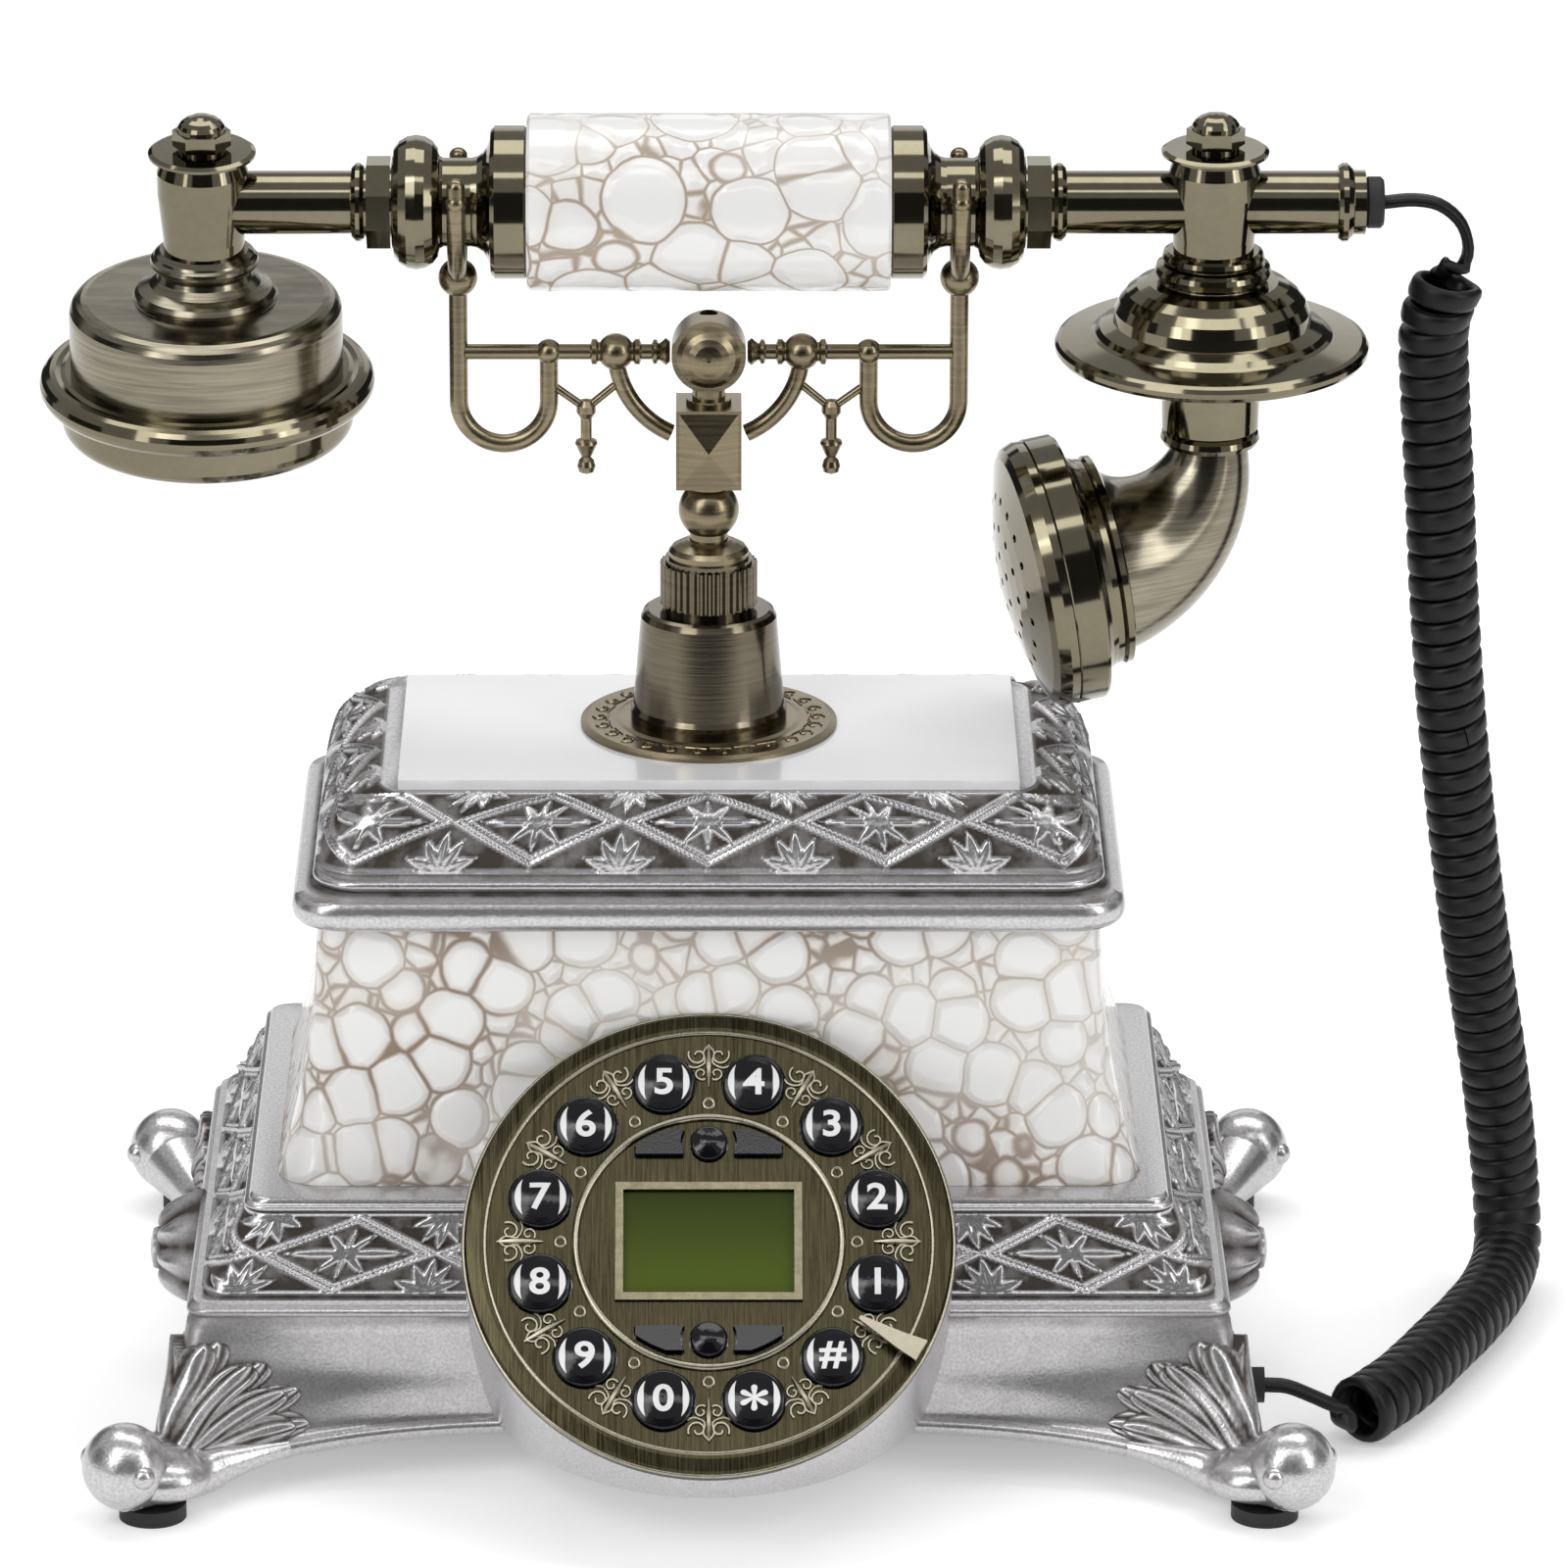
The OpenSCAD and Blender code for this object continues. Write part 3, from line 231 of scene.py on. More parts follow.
def join_pieces(name: str, parts: Sequence[Piece]) -> Piece:
    """Join meshes into one piece and remove the separate objects.

    Args:
        name: The piece's name.
        parts: The objects to join.

    Returns:
        The piece.
    """
    work = bmesh.new()
    for part in parts:
        work.from_mesh(part.data)
    mesh = bpy.data.meshes.new(name)
    work.to_mesh(mesh)
    work.free()
    for part in parts:
        bpy.data.objects.remove(part)
    return finish_mesh(name, mesh, 50)


def dress(look: Look, *nodes: str) -> None:
    """Give CAD nodes a finish.

    Args:
        look: Their finish.
        nodes: Their names.
    """
    for node in nodes:
        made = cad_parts[node]
        made.data.materials.clear()
        made.data.materials.append(look.material())
        LOG.info("%s: CAD node in %s", node, look.value.name)


def settle(made: Piece, body: Body | str | None, look: Look, slot: Slot,
           *stands_for: str) -> None:
    """Give a piece its finish and its body, and log it.

    Args:
        made: The piece.
        body: The body that it rides on, a key's name, or None if it bends between two.
        look: Its finish.
        slot: The record's material; not used.
        stands_for: CAD nodes that it replaces.
    """
    made.data.materials.clear()
    made.data.materials.append(look.material())
    rides_on = body.value if isinstance(body, Body) else body
    if rides_on:
        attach(made, rides_on)
    if stands_for:
        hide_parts(*stands_for)
    LOG.info("%s: %d points on %s", made.name, len(made.data.vertices), rides_on or "two bodies")


# ---- Lines and grids ----


def unit_rows(rows: Array) -> Array:
    """Return each row scaled to length one."""
    return rows / np.maximum(np.linalg.norm(rows, axis=-1, keepdims=True), 1e-12)


def walk(points: Array) -> Array:
    """Return how far along a line each of its points lies."""
    return np.concatenate([[0], np.cumsum(np.linalg.norm(np.diff(points, axis=0), axis=1))])


def sample(rows: Array, places: Array, marks: Array) -> Array:
    """Return rows of three read off at marks, where places says how far along each row lies."""
    return np.stack([np.interp(marks, places, rows[:, k]) for k in range(3)], axis=1)


def even_line(points: Array, count: int) -> Array:
    """Return count points spaced evenly along a line."""
    places = walk(points)
    return sample(points, places, np.linspace(0, places[-1], count))


def smooth_rows(rows: Array, count: Callable[[Array, Array], int]) -> Array:
    """Add smooth rows between given ones, on a curve that passes through them all.

    Args:
        rows: Rows of numbers, such as points.
        count: How many rows start at the first of two neighbours.

    Returns:
        The longer array of rows.
    """
    ends = np.vstack([2 * rows[0] - rows[1], rows, 2 * rows[-1] - rows[-2]])
    out = []
    for p0, p1, p2, p3 in zip(ends, ends[1:], ends[2:], ends[3:]):
        t = np.linspace(0, 1, count(p1, p2), endpoint=False)[:, None]
        out.append(0.5 * (2 * p1 + (p2 - p0) * t + (2 * p0 - 5 * p1 + 4 * p2 - p3) * t**2
                          + (3 * p1 - p0 - 3 * p2 + p3) * t**3))
    return np.vstack([*out, rows[-1:]])


def smooth_line(points: Array | Points, step: float) -> Array:
    """Return a smooth line through points, with a point about every step."""
    return smooth_rows(np.asarray(points, dtype=float),
                       lambda a, b: max(2, int(np.linalg.norm(b - a) / step)))


def steady_frames(along: Array, start: Sequence[float]) -> tuple[Array, Array]:
    """Find two directions across a line that turn with it as little as they can.

    Args:
        along: The line's direction at each of its points.
        start: A direction that isn't along the line's start.

    Returns:
        The two directions at each point.
    """
    side = np.zeros_like(along)
    side[0] = unit_rows(np.cross(along[0], start))
    for i in range(1, len(along)):
        side[i] = unit_rows(side[i - 1] - along[i] * float(side[i - 1] @ along[i]))
    return side, np.cross(along, side)


def arc(cx: float, cy: float, r: float, start: float, end: float, steps: int = 8) -> list:
    """Return points on an arc of a lathe outline, from start to end degrees."""
    angles = np.radians(np.linspace(start, end, steps + 1))
    return [(cx + r * math.cos(a), cy + r * math.sin(a)) for a in angles]


def grid_faces(rows: int, columns: int, wrap: bool = True, loop: bool = False) -> Array:
    """Number the quads of a grid of points.

    Args:
        rows: Number of rows of points.
        columns: Number of points in a row.
        wrap: Whether each row closes on itself.
        loop: Whether the last row joins the first.

    Returns:
        An array of point numbers, four to a face.
    """
    r = np.arange(rows if loop else rows - 1)
    c = np.arange(columns if wrap else columns - 1)
    rr, cc = np.meshgrid(r, c, indexing="ij")
    up, on = (rr + 1) % rows, (cc + 1) % columns
    quads = [rr * columns + cc, rr * columns + on, up * columns + on, up * columns + cc]
    return np.stack([q.ravel() for q in quads], axis=1)


def capped_faces(rows: int, columns: int) -> list[list[int]]:
    """Return the quads of a wrapped grid and a flat face at each end."""
    last = (rows - 1) * columns
    return [*grid_faces(rows, columns).tolist(), list(range(columns))[::-1],
            list(range(last, last + columns))]


def lathe(name: str, outline: Points, place: Matrix, sides: int = 96) -> Piece:
    """Turn an outline about Z.

    Args:
        name: The piece's name.
        outline: Its (radius, height) points, in millimetres.
        place: Its frame.
        sides: Steps round it.

    Returns:
        The piece.
    """
    angles = np.linspace(0, TURN, sides, endpoint=False)
    radius, height = np.asarray(outline, dtype=float).T[:, :, None]
    cloud = np.stack([radius * np.cos(angles), radius * np.sin(angles), height + 0 * angles], 2)
    return make_piece(name, cloud, grid_faces(len(outline), sides), place, weld=True)


def torus(name: str, ring_r: float, z: float, wire_r: float, place: Matrix, steps: int) -> Piece:
    """Return a round bead of wire on a circle of the dial's plate."""
    bead = [(ring_r + dx, dz) for dx, dz in arc(0, z, wire_r, 0, 360, steps)]
    return lathe(name, bead, place, 128)


def rod(name: str, line: Array, radius: Callable[[float], float] | float,
        place: Matrix = FLAT, sides: int = 6) -> Piece:
    """Sweep a round section along a line.

    Args:
        name: The piece's name.
        line: Points in millimetres.
        radius: A radius, or a rule that gives it from the share of the way.
        place: The line's frame.
        sides: Sides of the section.

    Returns:
        The piece.
    """
    along = unit_rows(np.gradient(line, axis=0))
    across, other = steady_frames(along, (0, 0, 1) if abs(along[0][2]) < 0.9 else (0, 1, 0))
    share = np.linspace(0, 1, len(line))
    r = np.array([radius(s) if callable(radius) else radius for s in share])[:, None, None]
    a = np.linspace(0, TURN, sides, endpoint=False)[:, None]
    rings = line[:, None] + r * (np.cos(a) * across[:, None] + np.sin(a) * other[:, None])
    return make_piece(name, rings, capped_faces(len(line), sides), place, weld=True)


# ---- Nodes ----


class Graph:
    """A node tree, with short ways to add nodes and fill their inputs."""

    def __init__(self, tree: bpy.types.NodeTree) -> None:
        """Take hold of a tree."""
        self.tree = tree

    def fill(self, node: Node, **inputs: object) -> None:
        """Fill a node's inputs.

        Args:
            node: The node.
            inputs: Values or sockets by input name, with _ for a space, or i and a number.
        """
        for key, value in inputs.items():
            by_number = key[0] == "i" and key[1:].isdigit()
            socket = node.inputs[int(key[1:]) if by_number else key.replace("_", " ")]
            if isinstance(value, Socket):
                self.tree.links.new(value, socket)
            else:
                socket.default_value = value

    def add(self, kind: str, settings: dict | None = None, **inputs: object) -> Node:
        """Add a node.

        Args:
            kind: The node's type.
            settings: Its properties.
            inputs: As for fill.

        Returns:
            The new node.
        """
        node = self.tree.nodes.new(kind)
        for key, value in (settings or {}).items():
            setattr(node, key, value)
        self.fill(node, **inputs)
        return node

    def math(self, operation: str, *values: object) -> Socket:
        """Add a Math node and return its output."""
        inputs = {f"i{number}": value for number, value in enumerate(values)}
        return self.add("ShaderNodeMath", {"operation": operation}, **inputs).outputs[0]

    def vector(self, operation: str, **inputs: object) -> Socket:
        """Add a Vector Math node and return its output."""
        return self.add("ShaderNodeVectorMath", {"operation": operation}, **inputs).outputs[0]

    def noise(self, place: Socket, scale: object, detail: float, **inputs: object) -> Node:
        """Add a Noise Texture node at a place."""
        return self.add("ShaderNodeTexNoise", Vector=place, Scale=scale, Detail=detail, **inputs)

    def place(self) -> Socket:
        """Return the place on the piece, in metres."""
        return self.add("ShaderNodeTexCoord").outputs["Object"]

    def remap(self, value: object, low: float, high: float, to_low: float = 0.0,
              to_high: float = 1.0) -> Socket:
        """Map a value smoothly from one range to another."""
        return self.add("ShaderNodeMapRange", {"interpolation_type": "SMOOTHSTEP"}, Value=value,
                        From_Min=low, From_Max=high, To_Min=to_low, To_Max=to_high).outputs[0]

    def ramp(self, value: object, *stops: tuple[float, Colour]) -> Socket:
        """Colour a value.

        Args:
            value: The value's socket.
            stops: The ramp's (position, colour) stops, two of them.

        Returns:
            The colour's socket.
        """
        node = self.add("ShaderNodeValToRGB", Fac=value)
        for mark, (position, colour) in zip(node.color_ramp.elements, stops):
            mark.position = position
            mark.color = (*colour, 1)
        return node.outputs["Color"]

    def mix(self, share: object, first: Socket | Colour, second: Socket | Colour) -> Socket:
        """Mix two colours, each a socket or a plain colour."""
        first, second = (c if isinstance(c, Socket) else (*c, 1) for c in (first, second))
        return self.add("ShaderNodeMix", {"data_type": "RGBA"}, i0=share, i6=first,
                        i7=second).outputs[2]

    def effect(self, effect: Effect, **inputs: float | Spot) -> bpy.types.NodeOutputs:
        """Place a shared effect with its own values, and return its outputs."""
        return self.add("ShaderNodeGroup", {"node_tree": effect.tree}, **inputs).outputs

    def relief(self, height: Socket, depth: float, strength: float = 1.0) -> Socket:
        """Return the normal of a height, at a depth in metres."""
        return self.add("ShaderNodeBump", Height=height, Distance=depth,
                        Strength=strength).outputs[0]


class Effect(Graph):
    """A shader node group with named inputs and outputs."""

    def __init__(self, name: str, inputs: dict[str, float | tuple],
                 outputs: Sequence[str]) -> None:
        """Start the group.

        Args:
            name: The group's name.
            inputs: Names and default values; a tuple makes a vector socket.
            outputs: Names of its value outputs.
        """
        super().__init__(bpy.data.node_groups.new(name, "ShaderNodeTree"))
        for key, value in inputs.items():
            kind = "NodeSocketVector" if isinstance(value, tuple) else "NodeSocketFloat"
            socket = self.tree.interface.new_socket(key, in_out="INPUT", socket_type=kind)
            socket.default_value = value
        for key in outputs:
            self.tree.interface.new_socket(key, in_out="OUTPUT", socket_type="NodeSocketFloat")
        self.given = self.tree.nodes.new("NodeGroupInput").outputs
        self.out = self.tree.nodes.new("NodeGroupOutput")


@cache
def brush_lines() -> Effect:
    """Build the streaks of a wire brush, drawn out along one direction.

    Returns:
        The effect: Line is the streaks, and Patchy the slow change of tone.
    """
    effect = Effect("brush_lines", {"Stretch": (1.0, 1.0, 1.0), "Scale": 600.0, "Patch": 25.0},
                    ["Line", "Patchy"])
    place = effect.place()
    drawn = effect.vector("MULTIPLY", i0=place, i1=effect.given["Stretch"])
    line = effect.noise(drawn, effect.given["Scale"], 3.0, Roughness=0.7)
    patch = effect.noise(place, effect.given["Patch"], 2.0)
    effect.fill(effect.out, Line=line.outputs[0], Patchy=patch.outputs[0])
    return effect


@cache
def fine_grain() -> Effect:
    """Build the grain of sprayed paint or moulded plastic.

    Returns:
        The effect: Grain is fine, and Uneven changes slowly.
    """
    effect = Effect("fine_grain", {"Scale": 2500.0, "Slow": 60.0}, ["Grain", "Uneven"])
    place = effect.place()
    effect.fill(effect.out, Grain=effect.noise(place, effect.given["Scale"], 2.0).outputs[0],
                Uneven=effect.noise(place, effect.given["Slow"], 4.0).outputs[0])
    return effect


@cache
def crackle_cells() -> Effect:
    """Build rounded pebble cells, small ones between large, with cracks of uneven width.

    Returns:
        The effect: Crack is 1 in a crack, Shade 1 near it for the tan ground and painted shade at
            a pebble's edge, and Dome rises over a cell.
    """
    effect = Effect("crackle_cells", {"Scale": 110.0, "Warp": 0.0022, "Fade": 16.0, "Line": 1.0},
                    ["Crack", "Shade", "Dome"])
    place = effect.place()
    wave = effect.noise(place, 95.0, 2.5).outputs["Color"]
    centred = effect.vector("SUBTRACT", i0=wave, i1=(0.5, 0.5, 0.5))
    moved = effect.vector("SCALE", i0=centred, Scale=effect.given["Warp"])
    warped = effect.vector("ADD", i0=place, i1=moved)
    (near, edge), (_, fine_edge) = (
        cell_distances(effect, warped, effect.math("MULTIPLY", effect.given["Scale"], finer))
        for finer in (1.0, 2.2))
    disc = effect.math("MINIMUM", effect.math("SUBTRACT", 0.6, near),
                       effect.math("MULTIPLY", edge, 0.55))
    outside = effect.math("MINIMUM", effect.math("MULTIPLY", disc, -1.0),
                          effect.math("MULTIPLY", fine_edge, 0.24))
    inward = effect.math("MAXIMUM", disc, outside)
    fade = effect.noise(place, effect.given["Fade"], 2.0).outputs[0]
    wide = effect.math("MULTIPLY", effect.given["Line"],
                       effect.remap(fade, 0.38, 0.62, 0.025, 0.062))
    crack = effect.remap(effect.math("DIVIDE", inward, wide), 0.15, 1.0, 1.0, 0.0)
    deep = effect.remap(fade, 0.36, 0.56, 0.42, 1.0)
    effect.fill(effect.out, Crack=effect.math("MULTIPLY", crack, deep),
                Shade=effect.remap(inward, 0.0, 0.14, 1.0, 0.0),
                Dome=effect.remap(inward, 0.0, 0.15))
    return effect


def cell_distances(effect: Effect, place: Socket, scale: Socket) -> tuple[Socket, Socket]:
    """Add one size of cells.

    Args:
        effect: The effect that gets them.
        place: The position.
        scale: Cells to a metre.

    Returns:
        The distances from the cell's centre and from its edge.
    """
    near, far = (effect.add("ShaderNodeTexVoronoi", {"feature": feature}, Vector=place,
                            Scale=scale, Randomness=0.9).outputs["Distance"]
                 for feature in ("F1", "F2"))
    return near, effect.math("SUBTRACT", far, near)


# ---- Finishes ----


@dataclass(frozen=True)
class Finish:
    """What every finish has: a name, and a gloss shader that its own paint method fills."""

    name: str

    def build(self) -> Material:
        """Build the material.

        Returns:
            The material.
        """
        material = bpy.data.materials.new(self.name)
        material.use_nodes = True
        graph = Graph(material.node_tree)
        graph.tree.nodes.clear()
        gloss = graph.add("ShaderNodeBsdfPrincipled")
        graph.add("ShaderNodeOutputMaterial", Surface=gloss.outputs[0])
        self.paint(graph, gloss)
        return material

    def paint(self, graph: Graph, gloss: Node) -> None:
        """Fill the gloss shader; each kind of finish has its own way."""
        raise NotImplementedError


@dataclass(frozen=True)
class Plain(Finish):
    """Paint, plastic or rubber with a fine grain."""

    colour: Colour = (0.5, 0.5, 0.5)
    roughness: float = 0.5
    coat: float = 0.0
    grain: float = 2500.0
    metallic: float = 0.0
    uneven: float = 0.08
    glow: float = 0.0
    shine: float = 0.5

    def paint(self, graph: Graph, gloss: Node) -> None:
        """Fill the gloss shader.

        Args:
            graph: The material's tree.
            gloss: Its shader.
        """
        grain = graph.effect(fine_grain(), Scale=self.grain)
        slow = grain["Uneven"]
        shaded = tuple((1 - self.uneven) * c for c in self.colour)
        graph.fill(
            gloss, Base_Color=graph.ramp(slow, (0.3, shaded), (0.7, self.colour)),
            Roughness=graph.remap(slow, 0.3, 0.7, self.roughness * 0.85,
                                  min(1.0, self.roughness * 1.15)),
            Metallic=self.metallic, Specular_IOR_Level=self.shine, Coat_Weight=self.coat,
            Coat_Roughness=0.08, Emission_Color=(1, 1, 1, 1), Emission_Strength=self.glow,
            Normal=graph.relief(grain["Grain"], 0.00003, 0.5))


@dataclass(frozen=True)
class PlatedMetal(Finish):
    """Antique plate, darker in patches and brushed along one direction."""

    deep: Colour = (0.07, 0.061, 0.037)
    bright: Colour = (0.30, 0.27, 0.19)
    roughness: float = 0.2
    stretch: Spot = (1.0, 1.0, 1.0)
    lines: float = 0.3
    scale: float = 500.0

    def paint(self, graph: Graph, gloss: Node) -> None:
        """Fill the gloss shader.

        Args:
            graph: The material's tree.
            gloss: Its shader.
        """
        brush = graph.effect(brush_lines(), Stretch=self.stretch, Scale=self.scale)
        line = graph.remap(brush["Line"], 0.3, 0.7, -0.5 * self.lines, 0.5 * self.lines)
        patch = graph.remap(brush["Patchy"], 0.25, 0.75, 0.46, 0.62)
        tone = graph.math("ADD", line, patch)
        graph.fill(
            gloss, Base_Color=graph.ramp(tone, (0.1, self.deep), (0.9, self.bright)),
            Metallic=1.0,
            Roughness=graph.remap(tone, 0.1, 0.9, self.roughness * 0.8, self.roughness * 1.3),
            Normal=graph.relief(brush["Line"], 0.00004, min(1.0, 1.2 * self.lines)))


@dataclass(frozen=True)
class CrackleLacquer(Finish):
    """White gloss lacquer over pebble cells, with brown left in the cracks, and tan ground and
    painted shade at the pebbles' edges.
    """

    white: Colour = (0.86, 0.855, 0.84)
    tan: Colour = (0.74, 0.67, 0.58)
    brown: Colour = (0.17, 0.095, 0.048)
    scale: float = 92.0
    depth: float = 0.0006
    line: float = 1.3

    def paint(self, graph: Graph, gloss: Node) -> None:
        """Fill the gloss shader.

        Args:
            graph: The material's tree.
            gloss: Its shader.
        """
        cells = graph.effect(crackle_cells(), Scale=self.scale, Line=self.line)
        slow = graph.effect(fine_grain(), Scale=900.0, Slow=30.0)["Uneven"]
        # Tan ground and painted shade near the cracks, stronger in slow patches.
        tan_ground_and_shade = graph.math("MULTIPLY", cells["Shade"], graph.remap(slow, 0.3, 0.75, 0.35, 0.9))
        ground = graph.mix(tan_ground_and_shade, self.white, self.tan)
        share = graph.math("MULTIPLY", cells["Crack"], 0.85)
        graph.fill(gloss, Base_Color=graph.mix(share, ground, self.brown),
                   Roughness=graph.remap(cells["Crack"], 0.0, 1.0, 0.16, 0.5),
                   Coat_Weight=0.4, Coat_Roughness=0.05,
                   Normal=graph.relief(cells["Dome"], self.depth))


@dataclass(frozen=True)
class AntiqueSilver(Finish):
    """Silver paint on cast resin, with brown stain and painted shade where the wash_and_shade
    attribute says.
    """

    silver: Colour = (0.58, 0.57, 0.58)
    # Colour of the brown stain and of the painted shade in hollows and under edges.
    wash_and_shade: Colour = (0.042, 0.031, 0.022)
    roughness: float = 0.25

    def paint(self, graph: Graph, gloss: Node) -> None:
        """Fill the gloss shader.

        Args:
            graph: The material's tree.
            gloss: Its shader.
        """
        grain = graph.effect(fine_grain(), Scale=1800.0, Slow=180.0)
        # The wash_and_shade attribute: brown stain and painted shade.
        wash_and_shade = graph.add("ShaderNodeAttribute", {"attribute_name": "wash_and_shade"}).outputs["Fac"]
        uneven = graph.remap(grain["Uneven"], 0.3, 0.7, 0.75, 1.15)
        share = graph.math("MINIMUM", graph.math("MULTIPLY", wash_and_shade, uneven), 1.0)
        fleck = graph.ramp(grain["Grain"], (0.35, tuple(0.86 * c for c in self.silver)),
                           (0.65, tuple(min(1.0, 1.12 * c) for c in self.silver)))
        graph.fill(gloss, Base_Color=graph.mix(share, fleck, self.wash_and_shade),
                   Roughness=graph.remap(share, 0.0, 1.0, self.roughness, 0.7),
                   Metallic=graph.remap(share, 0.0, 1.0, 0.8, 0.15),
                   Normal=graph.relief(grain["Grain"], 0.00006, 0.6))


@dataclass(frozen=True)
class ScreenGreen(Finish):
    """A matt green display window, darker towards its top."""

    dark: Colour = (0.03, 0.046, 0.002)
    light: Colour = (0.068, 0.102, 0.004)
    low_z: float = 0.046
    high_z: float = 0.062

    def paint(self, graph: Graph, gloss: Node) -> None:
        """Fill the gloss shader.

        Args:
            graph: The material's tree.
            gloss: Its shader.
        """
        height = graph.add("ShaderNodeSeparateXYZ", Vector=graph.place()).outputs[2]
        share = graph.remap(height, self.low_z, self.high_z)
        graph.fill(gloss, Base_Color=graph.mix(share, self.light, self.dark), Roughness=0.4,
                   Specular_IOR_Level=0.15)


LINES_ROUND_Z: Spot = (0.03, 0.03, 1.0)
LINES_ACROSS_X: Spot = (1.0, 0.03, 0.03)


class Look(Enum):
    """The telephone's finishes."""

    SILVER = AntiqueSilver("antique_silver")
    BODY_WHITE = CrackleLacquer("crackle_white")
    GRIP_WHITE = CrackleLacquer("grip_crackle", tan=(0.82, 0.78, 0.73), brown=(0.33, 0.24, 0.16),
                                scale=72.0, depth=0.0005, line=0.6)
    POLISHED = PlatedMetal("bronze_polished", roughness=0.09, lines=0.05)
    DRUM = PlatedMetal("bronze_brushed_drum", (0.08, 0.072, 0.052), (0.38, 0.345, 0.26), 0.18,
                       LINES_ROUND_Z, 0.3, 1600.0)
    STAND = PlatedMetal("brass_satin", (0.085, 0.07, 0.042), (0.36, 0.30, 0.195), 0.24,
                        LINES_ROUND_Z, 0.25, 1200.0)
    BELL = PlatedMetal("bronze_bell", (0.04, 0.034, 0.024), (0.22, 0.19, 0.135), 0.14,
                       LINES_ROUND_Z, 0.2, 1600.0)
    DIAL = PlatedMetal("dial_bronze", (0.01, 0.0085, 0.0045), (0.088, 0.077, 0.043), 0.25,
                       LINES_ACROSS_X, 0.6, 3000.0)
    FRAME = PlatedMetal("frame_brass", (0.05, 0.044, 0.028), (0.30, 0.27, 0.18))
    TRIM = PlatedMetal("trim_bright", (0.18, 0.165, 0.12), (0.52, 0.485, 0.38), 0.25, lines=0.2)
    PANEL = Plain("white_gloss", (0.92, 0.92, 0.935), 0.2, 0.5, uneven=0.01)
    RUBBER = Plain("black_rubber", (0.012, 0.012, 0.012), 0.6)
    CORD = Plain("cord_black", (0.003, 0.0033, 0.0045), 0.42, grain=1200.0, shine=0.3)
    PLASTIC = Plain("black_plastic", (0.02, 0.02, 0.02))
    KEY = Plain("key_gloss", (0.004, 0.004, 0.006), 0.1, 0.12, shine=0.35)
    FIGURE = Plain("figure_white", (0.86, 0.86, 0.86), 0.3)
    STEEL = Plain("zinc_steel", (0.6, 0.6, 0.6), 0.35, metallic=1.0)
    BOARD = Plain("board_green", (0.03, 0.12, 0.05), 0.4)
    SCREEN = ScreenGreen("screen_green")

    @cache
    def material(self) -> Material:
        """Return the finish's material, built at its first use."""
        return self.value.build()


# ---- Camera, light and floor ----


